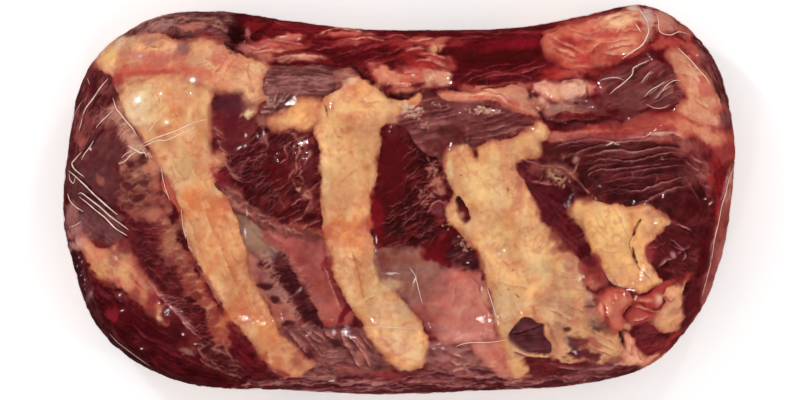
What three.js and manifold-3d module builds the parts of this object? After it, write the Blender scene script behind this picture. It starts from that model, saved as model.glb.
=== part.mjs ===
// A whole boneless beef entrecote (rib-eye roll) in a tight vacuum film, lying on its fat cap
// with the rib side up. Millimetres, +X along the loin, +Y across it, +Z up, origin under the
// middle of the pack. The sealed pack is one solid: a flat-bottomed pillow whose plan is a closed
// spline and whose shoulders are quarter ellipses, with the fat straps left where the ribs were,
// the seam under the lip muscle and the folds of the film in relief.
import * as THREE from 'three';
import { mergeVertices } from 'three/addons/utils/BufferGeometryUtils.js';
import Module from 'manifold-3d';

const wasm = await Module();
wasm.setup();

// Driving sizes
const CROWN = 82.5; // resting face to the top of the muscle, at its highest
const WIDEST = 35; // height at which the pack is widest
const TOP_SHOULDER = 42; // how far in from the outline the top has risen to its full height
const UNDER_SHOULDER = 27; // the same under the pack, where the meat settles on the table
const SETTLE = 2.5; // how much of the underside is pressed flat
const RIB_PITCH = 60; // mean spacing of the fat straps, as of the ribs

// Plan outline, clockwise from the left end
const OUTLINE = [
  [-148.5, -7], [-147, 18], [-141, 50], [-127.5, 69], [-104, 81.5], [-76, 83], [-48, 79],
  [-17.5, 75.5], [18, 75], [51, 76], [79.5, 81], [106, 86], [125.5, 77], [140.5, 58.5],
  [147.5, 30], [147, 4], [142, -26], [131, -52.5], [109.5, -74], [77, -82.5], [40, -84.5],
  [-6.5, -86.5], [-52.5, -84.5], [-90, -82.5], [-117.5, -71.5], [-135.5, -53], [-145, -26],
];

// Fat straps: middle line, half width at each of its points, and rise above the muscle.
// The lines lean more to the right the nearer they are to the left end, as the ribs did.
const STRAPS = [
  { line: [[-106, 38], [-93, 14], [-82, -12], [-71, -40], [-57, -66]], half: [14, 11, 12, 13, 10], rise: 3 },
  { line: [[-18, 46], [-23, 22], [-24, -4], [-15, -34], [3, -62]], half: [14, 13, 12, 12, 10], rise: 3 },
  { line: [[40, 30], [42, 6], [54, -16], [65, -38], [72, -58]], half: [13, 17, 20, 20, 17], rise: 3.5 },
  { line: [[84, -4], [93, -18], [101, -34], [118, -46]], half: [8, 14, 12, 9], rise: 3.5 },
];

// Single swellings and hollows: middle, half sizes, turn in degrees, and rise
const SWELLINGS = [
  { at: [-104, 46], half: [20, 13], turn: -20, rise: 3.5 }, // fat over the end of the first rib
  { at: [-55, 32], half: [18, 15], turn: 0, rise: -3 }, // between the first two ribs
  { at: [10, 8], half: [17, 34], turn: 12, rise: -3 }, // between the second and third
  { at: [22, -40], half: [15, 22], turn: 20, rise: -2 },
  { at: [-40, -36], half: [12, 26], turn: 30, rise: -2 },
  { at: [96, 28], half: [30, 13], turn: -3, rise: 2 }, // grained muscle over the fourth rib
  { at: [-6, 53], half: [13, 6.5], turn: 8, rise: 4.5 }, // lobes of fat in the lip muscle
  { at: [40, 60], half: [30, 9], turn: 4, rise: -3.5 }, // hollow filled with juice
  { at: [100, 66], half: [22, 10], turn: 10, rise: 3 },
  { at: [92, -51], half: [9, 9], turn: 0, rise: 3 }, // kernel of fat beside the last strap
  { at: [-118, -28], half: [10, 22], turn: 25, rise: 2.5 },
];

// The seam between the loin and the lip muscle that lies over its far edge
const SEAM = { line: [[-71, 78], [-70, 66], [-56, 62], [-30, 60], [-12, 52], [-1, 45.5], [24, 49.5],
  [50, 51.5], [60, 40], [76, 33], [99, 35], [112, 40], [122, 44]], half: 5.5, depth: 6.5 };
const LIP_DROP = 6; // the lip muscle lies this much lower than the loin

// Sharp folds of the film: their lines in plan, from one end to the other
const FOLDS = [
  [[-146, 12], [-133.5, 2], [-124, -7]],
  [[-142.5, 2], [-130, -7], [-119, -16]],
  [[-144, 16.5], [-135.5, 25], [-128, 33]],
  [[-127, 43.5], [-119.5, 34], [-115, 27]],
  [[-115, 27], [-104, 38.5]],
  [[-114, 24], [-100, 29.5], [-87, 34.5]],
  [[-140, 39], [-134.5, 46], [-128.5, 53]],
  [[92, 61], [101, 64.5], [108, 71], [109.5, 77.5]],
  [[92, 46], [98.5, 50.5], [103, 56.5], [110, 61]],
  [[119, 65.5], [129, 62], [135, 56.5], [137, 50]],
  [[138, 10], [140, -6], [137, -22]],
];
const FOLD_RISE = 1.3; // height of a fold's edge above the film round it
const FOLD_WIDTH = 2.6;
const FOLD_ROOT = 2; // how far a fold reaches into the pack

// Fineness of the facets
const STATIONS = 76; // cross sections along the loin
const OVER = 40; // strips over the top of each section
const UNDER = 18; // strips under it
const OUTLINE_STEPS = 14; // straight pieces for each span of the outline

const clamp = THREE.MathUtils.clamp;
const smooth = (t) => t * t * (3 - 2 * t);

const outlineCurve = new THREE.CatmullRomCurve3(
  OUTLINE.map(([x, y]) => new THREE.Vector3(x, y, 0)), true, 'catmullrom', 0.5,
);
const outline = outlineCurve.getPoints(OUTLINE.length * OUTLINE_STEPS).slice(0, -1);
const outlineBox = new THREE.Box3().setFromPoints(outline);
const middle = outlineBox.getCenter(new THREE.Vector3());

// A smooth line through a few plan points, as many short steps.
function planLine(points, steps = 40) {
  return new THREE.SplineCurve(points.map(([x, y]) => new THREE.Vector2(x, y))).getPoints(steps);
}

// Distance from a plan point to a chain of points, and how far along the chain the nearest one is.
function nearest(x, y, chain, closed = false) {
  let best = Infinity;
  let along = 0;
  const spans = closed ? chain.length : chain.length - 1;
  for (let i = 0; i < spans; i += 1) {
    const a = chain[i];
    const b = chain[(i + 1) % chain.length];
    const [ex, ey] = [b.x - a.x, b.y - a.y];
    const t = clamp(((x - a.x) * ex + (y - a.y) * ey) / (ex * ex + ey * ey), 0, 1);
    const far = Math.hypot(x - a.x - t * ex, y - a.y - t * ey);
    if (far < best) {
      best = far;
      along = (i + t) / spans;
    }
  }
  return { far: best, along };
}

// Straight-line reading of a short list at a share of its length.
function readList(list, share) {
  const at = share * (list.length - 1);
  const low = Math.min(Math.floor(at), list.length - 2);
  return THREE.MathUtils.lerp(list[low], list[low + 1], at - low);
}

const strapLines = STRAPS.map((strap) => ({ ...strap, chain: planLine(strap.line) }));
const seamChain = planLine(SEAM.line, 90);

// A flat-topped ridge for each strap of fat.
function strapRelief(x, y) {
  let rise = 0;
  for (const strap of strapLines) {
    const { far, along } = nearest(x, y, strap.chain);
    const half = readList(strap.half, along);
    rise = Math.max(rise, strap.rise * smooth(clamp((half + 4 - far) / 8, 0, 1)));
  }
  return rise;
}

// Rounded swellings and hollows, each a bell over an ellipse.
function swellingRelief(x, y) {
  let rise = 0;
  for (const { at, half, turn, rise: most } of SWELLINGS) {
    const angle = THREE.MathUtils.degToRad(turn);
    const [dx, dy] = [x - at[0], y - at[1]];
    const u = (dx * Math.cos(angle) + dy * Math.sin(angle)) / half[0];
    const v = (dy * Math.cos(angle) - dx * Math.sin(angle)) / half[1];
    rise += most * Math.exp(-1.1 * (u * u + v * v));
  }
  return rise;
}

// The seam is a groove, and the lip muscle beyond it lies lower than the loin.
function seamRelief(x, y) {
  const { far, along } = nearest(x, y, seamChain);
  const fade = smooth(clamp(Math.min(along, 1 - along) * 12, 0, 1));
  const groove = -SEAM.depth * fade * Math.exp(-((far / SEAM.half) ** 2));
  const spot = seamChain[Math.round(along * (seamChain.length - 1))];
  const beyond = y > spot.y ? smooth(clamp(far / 12, 0, 1)) : 0;
  return groove - LIP_DROP * fade * beyond;
}

// Height of the pack's crown, highest over the third rib and lower at the left end.
function crown(x, y) {
  const along = (x - 25) / (3 * RIB_PITCH);
  const across = (y + 8) / (2.2 * RIB_PITCH);
  return CROWN - 11 * along * along - 8 * across * across;
}

const quarterEllipse = (share) => Math.sqrt(1 - (1 - clamp(share, 0, 1)) ** 2);

function topHeight(x, y, far) {
  const full = crown(x, y) + strapRelief(x, y) + swellingRelief(x, y) + seamRelief(x, y);
  return WIDEST + (full - WIDEST) * quarterEllipse(far / TOP_SHOULDER);
}

const underHeight = (far) => WIDEST - (WIDEST + SETTLE) * quarterEllipse(far / UNDER_SHOULDER);

// The outline's near and far edge at a station along the loin.
const leftEnd = outline.reduce((best, p) => (p.x < best.x ? p : best));
const rightEnd = outline.reduce((best, p) => (p.x > best.x ? p : best));
function edgeFrom(start, end, step) {
  const edge = [start];
  let i = outline.indexOf(start);
  while (outline[i] !== end) {
    i = (i + step + outline.length) % outline.length;
    edge.push(outline[i]);
  }
  return edge;
}
const farEdge = edgeFrom(leftEnd, rightEnd, 1);
const nearEdge = edgeFrom(leftEnd, rightEnd, -1);
function edgeAt(edge, x) {
  const next = clamp(edge.findIndex((p) => p.x >= x), 1, edge.length - 1);
  const [a, b] = [edge[next - 1], edge[next]];
  return THREE.MathUtils.lerp(a.y, b.y, clamp((x - a.x) / (b.x - a.x), 0, 1));
}

// Shares of a width, closer together near both rims, where the shoulders turn down:
// each shoulder is cut at even angles and the middle at an even step.
function spread(t, width, shoulder) {
  const reach = Math.min(shoulder, width / 2);
  const turn = (Math.PI * reach) / (2 * (width - 2 * reach) + 2 * Math.PI * reach);
  const rim = (s) => reach * (1 - Math.cos((Math.PI / 2) * (s / turn)));
  if (t <= turn) return rim(t) / width;
  if (t >= 1 - turn) return 1 - rim(1 - t) / width;
  return (reach + ((t - turn) / (1 - 2 * turn)) * (width - 2 * reach)) / width;
}

// The pillow: rings round the cross sections, from a pole at the left end to one at the right.
function pillow() {
  const length = rightEnd.x - leftEnd.x;
  const around = OVER + UNDER;
  const vertices = [leftEnd.x, leftEnd.y, WIDEST];
  for (let i = 1; i < STATIONS; i += 1) {
    const x = leftEnd.x + length * spread(i / STATIONS, length, TOP_SHOULDER);
    const [yFar, yNear] = [edgeAt(farEdge, x), edgeAt(nearEdge, x)];
    for (let j = 0; j < around; j += 1) {
      const over = j <= OVER;
      const t = over ? j / OVER : (around - j) / UNDER;
      const y = yNear + (yFar - yNear) * spread(t, yFar - yNear, over ? TOP_SHOULDER : UNDER_SHOULDER);
      const far = t === 0 || t === 1 ? 0 : nearest(x, y, outline, true).far;
      vertices.push(x, y, over ? topHeight(x, y, far) : underHeight(far));
    }
  }
  vertices.push(rightEnd.x, rightEnd.y, WIDEST);

  const faces = [];
  const last = vertices.length / 3 - 1;
  const ring = (i, j) => 1 + (i - 1) * around + (j % around);
  for (let j = 0; j < around; j += 1) {
    faces.push(0, ring(1, j), ring(1, j + 1));
    faces.push(last, ring(STATIONS - 1, j + 1), ring(STATIONS - 1, j));
    for (let i = 1; i < STATIONS - 1; i += 1) {
      faces.push(ring(i, j), ring(i + 1, j), ring(i + 1, j + 1));
      faces.push(ring(i, j), ring(i + 1, j + 1), ring(i, j + 1));
    }
  }
  return { vertices, faces };
}

// A fold of the film: a thin three-sided ridge along its line, tapered at both ends.
function fold(points) {
  const chain = planLine(points, 10);
  const vertices = [];
  chain.forEach((p, i) => {
    const before = chain[Math.max(i - 1, 0)];
    const after = chain[Math.min(i + 1, chain.length - 1)];
    const side = new THREE.Vector2(before.y - after.y, after.x - before.x).normalize();
    const size = 0.35 + 0.65 * Math.sin((Math.PI * i) / (chain.length - 1));
    const height = topHeight(p.x, p.y, nearest(p.x, p.y, outline, true).far);
    const half = (size * FOLD_WIDTH) / 2;
    vertices.push(p.x + side.x * half, p.y + side.y * half, height - FOLD_ROOT);
    vertices.push(p.x - side.x * half, p.y - side.y * half, height - FOLD_ROOT);
    vertices.push(p.x, p.y, height + size * FOLD_RISE);
  });
  const faces = [0, 1, 2];
  const end = vertices.length / 3 - 3;
  faces.push(end, end + 2, end + 1);
  for (let i = 0; i < end; i += 3) {
    for (let k = 0; k < 3; k += 1) {
      const [a, b] = [i + k, i + ((k + 1) % 3)];
      faces.push(a, b + 3, b, a, a + 3, b + 3);
    }
  }
  return { vertices, faces };
}

// Plain geometry from corners and triangles, and the same as a solid for joining and cutting.
function geometryOf({ vertices, faces }) {
  const geometry = new THREE.BufferGeometry();
  geometry.setAttribute('position', new THREE.Float32BufferAttribute(vertices, 3));
  geometry.setIndex(faces);
  return geometry;
}

function solidOf(geometry) {
  const merged = mergeVertices(geometry, 1e-3);
  const solid = new wasm.Manifold(new wasm.Mesh({
    numProp: 3,
    vertProperties: merged.attributes.position.array,
    triVerts: new Uint32Array(merged.index.array),
  }));
  return solid;
}

// What lies under the resting face is cut away, so that the pack stands on one flat face.
function floorBlock() {
  const size = outlineBox.getSize(new THREE.Vector3());
  const block = new THREE.BoxGeometry(size.x, size.y, 2 * SETTLE);
  block.deleteAttribute('normal');
  block.deleteAttribute('uv');
  return solidOf(block.translate(middle.x, middle.y, -SETTLE));
}

function packSolid() {
  let pack = solidOf(geometryOf(pillow())).subtract(floorBlock());
  for (const points of FOLDS) pack = pack.add(solidOf(geometryOf(fold(points))));
  const { vertProperties, triVerts } = pack.getMesh();
  return geometryOf({ vertices: vertProperties, faces: Array.from(triVerts) });
}

const wetMeat = new THREE.MeshStandardMaterial({ color: 0x7a2a26, roughness: 0.25, metalness: 0 });

const entrecote = new THREE.Group();
const pack = new THREE.Mesh(packSolid(), wetMeat);
pack.name = 'packed_entrecote';
pack.position.set(-middle.x, -middle.y, 0);
entrecote.add(pack);

export default entrecote;
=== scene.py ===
import bpy
import mathutils
import numpy as np
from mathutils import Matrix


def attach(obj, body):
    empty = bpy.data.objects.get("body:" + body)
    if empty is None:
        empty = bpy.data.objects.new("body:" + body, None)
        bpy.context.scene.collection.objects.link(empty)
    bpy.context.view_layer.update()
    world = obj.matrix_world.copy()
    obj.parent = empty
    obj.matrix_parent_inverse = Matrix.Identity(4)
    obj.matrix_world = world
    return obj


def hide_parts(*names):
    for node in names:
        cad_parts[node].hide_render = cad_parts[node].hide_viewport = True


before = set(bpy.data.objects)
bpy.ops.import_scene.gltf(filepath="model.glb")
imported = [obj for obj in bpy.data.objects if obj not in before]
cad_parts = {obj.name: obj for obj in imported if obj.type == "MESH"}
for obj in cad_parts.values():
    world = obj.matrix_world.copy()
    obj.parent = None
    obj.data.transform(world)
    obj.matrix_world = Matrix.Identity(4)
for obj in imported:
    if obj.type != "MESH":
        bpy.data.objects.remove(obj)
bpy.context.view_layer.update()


# The photograph as a plan of the pack: mm to each of its steps, and the step at its middle
picture = dict(step=0.44, x=400, y=200)
# what all the noise is read from
noiseTable = np.random.default_rng(71).random((256, 256)).astype(np.float32)


# Smooth random hills between 0 and 1, one to each whole step of x and y
def hills(x, y, seed):
    x = np.asarray(x, np.float32) + 13.37 * seed
    y = np.asarray(y, np.float32) - 7.91 * seed
    xCell, yCell = np.floor(x).astype(np.int32), np.floor(y).astype(np.int32)
    s, t = x - xCell, y - yCell
    s, t = s * s * (3 - 2 * s), t * t * (3 - 2 * t)
    x0, x1, y0, y1 = xCell & 255, (xCell + 1) & 255, yCell & 255, (yCell + 1) & 255
    low = noiseTable[x0, y0] * (1 - s) + noiseTable[x1, y0] * s
    high = noiseTable[x0, y1] * (1 - s) + noiseTable[x1, y1] * s
    return low * (1 - t) + high * t


# Hills of several sizes on each other, each turned, half as wide and half as high as the last
def rough(x, y, seed, octaves=3):
    total, height, reach = 0, 0.5, 0
    for octave in range(octaves):
        total = total + height * hills(x, y, seed + 5 * octave)
        reach += height
        x, y, height = 1.6 * x + 1.2 * y, 1.6 * y - 1.2 * x, height / 2
    return total / reach


# 0 below low, 1 above high, and a smooth rise between
def ease(low, high, value):
    t = np.clip((value - low) / (high - low), 0, 1)
    return t * t * (3 - 2 * t)


# Points on a smooth curve through the given ones, a few to each span
def curve(points, closed=False, steps=5):
    p = np.array(points, float)
    if closed:
        p = np.vstack([p[-1], p, p[:2]])
    else:
        p = np.vstack([2 * p[0] - p[1], p, 2 * p[-1] - p[-2]])
    a, b, c, d = (p[i:len(p) - 3 + i, None] for i in range(4))
    t = np.linspace(0, 1, steps, endpoint=False)[None, :, None]
    spans = 0.5 * (2 * b + (c - a) * t + (2 * a - 5 * b + 4 * c - d) * t**2 + (3 * b - a - 3 * c + d) * t**3)
    spans = spans.reshape(-1, p.shape[1])
    return spans if closed else np.vstack([spans, p[-2]])


# Distance walked at each point of a chain
def walkedAt(chain):
    return np.concatenate([[0], np.cumsum(np.hypot(*np.diff(chain, axis=0).T))])


# Distance from each place to a chain of points, and how far along it (0 to 1) the nearest one is
def distanceTo(chain, x, y, closed=False):
    best = np.full(x.shape, 1e9, np.float32)
    along = np.zeros(x.shape, np.float32)
    within = np.zeros(x.shape, bool)
    ends = np.roll(chain, -1, 0) if closed else chain[1:]
    starts = chain if closed else chain[:-1]
    lengths = np.hypot(*(ends - starts).T)
    walked = np.concatenate([[0], np.cumsum(lengths)])
    for i, ((ax, ay), (bx, by)) in enumerate(zip(starts, ends)):
        ex, ey = bx - ax, by - ay
        t = np.clip(((x - ax) * ex + (y - ay) * ey) / (ex * ex + ey * ey + 1e-9), 0, 1)
        far = (x - ax - t * ex) ** 2 + (y - ay - t * ey) ** 2
        closer = far < best
        best = np.where(closer, far, best)
        along = np.where(closer, (walked[i] + t * lengths[i]) / walked[-1], along)
        if closed and ay != by:
            crosses = ((ay > y) != (by > y)) & (x < ex * (y - ay) / ey + ax)
            within ^= crosses
    return np.sqrt(best), along, within


# Colours and relief in mm at places x, y of the picture; u, v are the places for noise, which unroll the
# sides. No edge or line of living tissue is even, so every place drifts a little.
class Painting:
    def __init__(self, x, y, u=None, v=None):
        self.x, self.y = np.asarray(x, np.float32).ravel(), np.asarray(y, np.float32).ravel()
        drift = [2.6 * (rough(self.x / 13, self.y / 13, seed, 2) - 0.5)
                 + 1.7 * (rough(self.x / 4.5, self.y / 4.5, seed + 1, 2) - 0.5) for seed in (301, 304)]
        self.x, self.y = self.x + drift[0], self.y + drift[1]
        self.u = self.x if u is None else np.asarray(u, np.float32).ravel()
        self.v = self.y if v is None else np.asarray(v, np.float32).ravel()
        self.colour = np.zeros((self.x.size, 3), np.float32)
        self.relief = np.zeros(self.x.size, np.float32)
        wide, high = 100, 50
        inner = (abs(self.x - picture['x']) < wide) & (abs(self.y - picture['y']) < high)
        self.density = inner.sum() / (4 * wide * high)  # places in one square step

    # Places within a margin of a list of points
    def around(self, points, margin):
        p = np.asarray(points, float)
        (x0, y0), (x1, y1) = p[:, :2].min(0) - margin, p[:, :2].max(0) + margin
        return np.flatnonzero((self.x > x0) & (self.x < x1) & (self.y > y0) & (self.y < y1))

    # Noise drawn out along a grain: angle in degrees, length and width of its streaks in steps
    def grain(self, at, angle, length, width, seed, wave=0.6):
        x, y = self.u[at], self.v[at]
        a = np.radians(angle)
        s = (x * np.cos(a) - y * np.sin(a)) / length
        t = (x * np.sin(a) + y * np.cos(a)) / width
        t = t + wave * length / width * 0.25 * (rough(s * 0.8, t * 0.15, seed + 3, 2) - 0.5)
        return hills(s, t, seed)

    # Thin wavy threads along a grain: 1 on a thread, 0 between
    def threads(self, at, angle, length, width, seed, thin=5, wave=1.0):
        ridge = 1 - np.abs(2 * self.grain(at, angle, length, width, seed, wave) - 1)
        return ridge**thin

    # Clumps of noise between 0 and 1, the largest as wide as size
    def clumps(self, at, size, seed, octaves=3):
        return rough(self.u[at] / size, self.v[at] / size, seed, octaves)

    # Move the colour of the places at towards another one, given as 0 to 255 or as rows of 0 to 1
    def blend(self, at, colour, strength):
        colour = np.asarray(colour, np.float32)
        if colour.ndim == 1:
            colour = colour[None] / 255
        self.colour[at] += (colour - self.colour[at]) * np.asarray(strength, np.float32).reshape(-1, 1)

    # How much each place lies inside a torn outline, its distance inside the edge and its place along it.
    # The edge wanders with coarse and fine noise, and is crisp in some stretches and soft in others.
    def inside(self, outline, soft=1.5, ragged=2.0, seed=0):
        chain = curve(outline, True, 4)
        at = self.around(chain, 9 + 2.5 * ragged)
        far, along, within = distanceTo(chain, self.x[at], self.y[at], True)
        far = np.where(within, far, -far)
        torn = 3.4 * (self.clumps(at, 14, seed + 11) - 0.5) + 1.3 * (self.clumps(at, 4.5, seed + 13, 2) - 0.5)
        far = far + ragged * torn
        blur = soft * (0.4 + 2.4 * ease(0.3, 0.8, self.clumps(at, 16, seed + 17, 2)))
        length = np.hypot(*np.diff(chain, axis=0).T).sum()
        return at, ease(-blur, blur, far), far, along * length


# Points from text: x,y with a space between two of them
def pairs(text):
    return [tuple(float(n) for n in pair.split(',')) for pair in text.split()]


# Short curved threads of tissue scattered over the places at, each tapered to both ends: they run near
# one angle, lie in clumps and fork a little
def strokes(p, at, angle, count, tone, length=11, wide=0.62, strength=0.75, spread=22, seed=0, rise=0.25,
            keep=None):
    if not len(at):
        return
    draw = np.random.default_rng(1000 + seed)
    x, y = p.x[at], p.y[at]
    hub = at[draw.integers(0, len(at), max(2, count // 5))]
    tone = np.asarray(tone, float)
    for number in range(count):
        middle = hub[number % len(hub)]
        cx = p.x[middle] + draw.normal(0, 1) * length * 0.8
        cy = p.y[middle] + draw.normal(0, 1) * length * 0.5
        turn = np.radians(angle + draw.normal(0, spread))
        reach = length * draw.uniform(0.45, 1.35)
        bend = draw.normal(0, 0.22)
        t = np.linspace(-0.5, 0.5, 7)
        turns = turn + bend * 2 * t + 0.4 * np.sin(8 * t + draw.uniform(0, 6))
        chain = np.column_stack([cx + np.cumsum(np.cos(turns)) * reach / 7,
                                 cy - np.cumsum(np.sin(turns)) * reach / 7])
        lo, hi = chain.min(0) - 2, chain.max(0) + 2
        near = np.flatnonzero((x > lo[0]) & (x < hi[0]) & (y > lo[1]) & (y < hi[1]))
        if not len(near):
            continue
        far, along, _ = distanceTo(chain, x[near], y[near])
        width = wide * draw.uniform(0.75, 1.35) * (0.35 + 0.65 * np.sin(np.pi * np.clip(along, 0.03, 0.97)))
        mask = np.exp(-((far / width) ** 2)) * strength * draw.uniform(0.5, 1.15)
        if keep is not None:
            mask = mask * keep[near]
        p.blend(at[near], tone * draw.uniform(0.85, 1.15), np.clip(mask, 0, 1))
        p.relief[at[near]] += rise * mask


# Red muscle: grain streaks from dark to light, a faint pale bloom, and threads of tissue on it
def layMuscle(p, edge, dark, light, angle, threads=0.5, tone=(168, 104, 94), soft=2.2, ragged=1.8,
              seed=0, rise=0.0, streak=(20, 2.4), cover=0.5, bloom=0.12):
    at, mask, far, _ = p.inside(pairs(edge), soft, ragged, seed)
    mix = 0.4 * p.grain(at, angle, streak[0], streak[1], seed) + 0.6 * p.clumps(at, 12, seed + 2, 4)
    mix = ease(0.3, 0.88, mix)[:, None]
    dark, light = np.array(dark) / 255, np.array(light) / 255
    p.blend(at, dark + (light - dark) * mix, mask)
    haze = ease(0.5, 0.8, p.clumps(at, 13, seed + 51, 4)) * bloom
    p.blend(at, (150, 92, 82), haze * mask)
    pits = ease(0.5, 0.85, p.clumps(at, 9, seed + 53, 4))
    p.blend(at, dark * 110, 0.45 * pits * mask)
    p.relief[at] *= 1 - mask
    p.relief[at] += mask * (1.1 * (p.clumps(at, 10, seed + 4) - 0.5) + 0.6 * (mix[:, 0] - 0.5))
    if threads:
        line = p.threads(at, angle, 1.2 * streak[0], 1.9 * streak[1], seed + 9, 3.5, 1.4)
        where = ease(0.7 - 0.34 * cover, 0.86 - 0.3 * cover, p.clumps(at, 10, seed + 6))
        p.blend(at, tone, 0.3 * mask * threads * where * line)
        p.blend(at, dark * 170, 0.5 * mask * threads * where * (1 - line) ** 3)
        inner = far > 2
        area = 0.18 * inner.sum() / max(p.density, 1e-6)
        strokes(p, at[inner], angle, int(area * threads * (0.05 + 0.08 * cover)), np.array(tone) + 6,
                0.8 * streak[0] + 4, 0.5, seed=seed, strength=0.2 + 0.35 * threads, keep=mask[inner])
    p.relief[at] += rise * ease(-2, 6, far)


# Fat: a soft lumpy body with stains and faint creases, blood along its edge, painted shade inside its edge
# and a painted shadow round it, and a torn fringe of tissue that runs out from its edge into the muscle
def layFat(p, edge, tone, stained, angle=80, rise=1.2, soft=1.5, ragged=1.3, seed=0, stains=0.5,
           rim=(178, 84, 66), rimWidth=2.4, paintedShadow=0.4, cracks=0.25, lumps=0.35, clear=1.0, fringe=0.5):
    at, mask, far, along = p.inside(pairs(edge), soft, ragged, seed)
    mask = mask * clear
    outside = (far < 0.6) * (1 - mask)
    comb = hills(along / 2.6, far / 11, seed + 41) * 0.6 + 0.4 * hills(along / 1.3, far / 7, seed + 43)
    reach = 6.5 * ease(0.35, 0.75, p.clumps(at, 12, seed + 45, 2))
    torn = ease(0.42, 0.62, comb) * np.exp(np.minimum(far, 0) / np.maximum(reach, 0.4)) * outside
    # painted shadow that the raised fat casts on the muscle just outside its edge
    shadow = np.exp(np.minimum(far, 0) / 2.4) * outside * ease(0.25, 0.6, p.clumps(at, 14, seed + 47, 2))
    p.blend(at, (56, 10, 14), paintedShadow * shadow)
    p.blend(at, 0.5 * np.array(stained) + 0.5 * np.array((150, 72, 66)), fringe * torn)
    blotch = ease(0.74 - 0.4 * stains, 0.98 - 0.3 * stains, p.clumps(at, 19, seed + 1, 4))
    fine = 0.3 * p.grain(at, angle, 14, 3.2, seed + 4) + 0.7 * p.clumps(at, 5, seed + 5, 2)
    tone, stained = np.array(tone) / 255, np.array(stained) / 255
    body = tone + (stained - tone) * blotch[:, None]
    body = body * (0.93 + 0.13 * fine)[:, None]
    body = body * (0.91 + 0.18 * ease(0.2, 0.8, p.clumps(at, 26, seed + 7, 2)))[:, None]
    warm = 0.6 * p.grain(at, angle, 46, 11, seed + 8) + 0.4 * p.clumps(at, 22, seed + 10, 2) - 0.5
    body = body + warm[:, None] * np.array((0.02, 0.13, 0.16))
    p.blend(at, body, mask)
    # painted shade along the inside of the edge, where the fat turns down, tinted towards the blood at the
    # rim
    edgeShade = np.exp(-np.maximum(far, 0) / (0.8 + 9 * p.clumps(at, 15, seed + 15, 3) ** 2))
    p.blend(at, 0.5 * np.array(tone) * 255 + 0.5 * np.array(rim, float) * 0.85, 0.62 * edgeShade * mask)
    crease = p.threads(at, angle, 26, 9, seed + 8, 7, 2.2) * ease(0.42, 0.66, p.clumps(at, 14, seed + 9))
    p.blend(at, stained * 255 * 0.72, 0.75 * cracks * crease * mask)
    rimmed = mask * np.exp(-np.maximum(far, 0) / rimWidth) * ease(0.2, 0.7, p.clumps(at, 9, seed + 49, 2))
    p.blend(at, rim, 0.6 * rimmed)
    p.relief[at] *= 1 - 0.8 * mask
    p.relief[at] += rise * ease(-1.5, 6.5, far) * clear
    lumpy = 3.2 * (p.clumps(at, 12, seed + 12, 2) - 0.5) + 0.8 * (p.clumps(at, 4, seed + 14, 2) - 0.5)
    p.relief[at] += mask * lumps * lumpy
    p.relief[at] += 0.5 * fringe * torn - 0.5 * cracks * crease * mask - 0.7 * paintedShadow * shadow


# A soft blot of colour over an ellipse, with torn edges
def stain(p, x, y, wide, high, turn, colour, strength=0.8, ragged=0.45, seed=0, rise=0.0):
    at = p.around([(x, y)], 1.6 * max(wide, high))
    dx, dy = p.x[at] - x, p.y[at] - y
    a = np.radians(turn)
    s, t = (dx * np.cos(a) - dy * np.sin(a)) / wide, (dx * np.sin(a) + dy * np.cos(a)) / high
    far = np.hypot(s, t) + ragged * 2 * (p.clumps(at, 7, seed + 31) - 0.5)
    mask = ease(1.3, 0.35, far)
    p.blend(at, np.array(colour) / 255 * (0.93 + 0.14 * p.clumps(at, 5, seed + 33))[:, None], strength * mask)
    p.relief[at] += rise * ease(1.15, 0.2, far)


# Fibres that start along a path and run off at an angle, each thinner to its end
def fibres(p, path, angle, count, tone, length=10, wide=0.6, strength=0.7, spread=16, seed=0, rise=0.2):
    draw = np.random.default_rng(2000 + seed)
    chain = curve(pairs(path), False, 6)
    at = p.around(chain, 1.4 * length + 3)
    x, y = p.x[at], p.y[at]
    for _ in range(count):
        start = chain[draw.integers(0, len(chain))] + draw.normal(0, 0.8, 2)
        reach = length * draw.uniform(0.4, 1.3)
        turns = np.radians(angle + draw.normal(0, spread)) + draw.normal(0, 0.25) * np.linspace(0, 2, 6)
        walk = np.cumsum(np.column_stack([np.cos(turns), -np.sin(turns)]) * reach / 6, 0)
        line = start + np.vstack([[0, 0], walk])
        lo, hi = line.min(0) - 2, line.max(0) + 2
        near = np.flatnonzero((x > lo[0]) & (x < hi[0]) & (y > lo[1]) & (y < hi[1]))
        if not len(near):
            continue
        far, along, _ = distanceTo(line, x[near], y[near])
        mask = np.exp(-((far / (wide * (1.25 - along))) ** 2)) * (1 - 0.6 * along)
        mask = mask * strength * draw.uniform(0.5, 1.2)
        p.blend(at[near], np.array(tone, float) * draw.uniform(0.85, 1.12), np.clip(mask, 0, 1))
        p.relief[at[near]] += rise * mask
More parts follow.
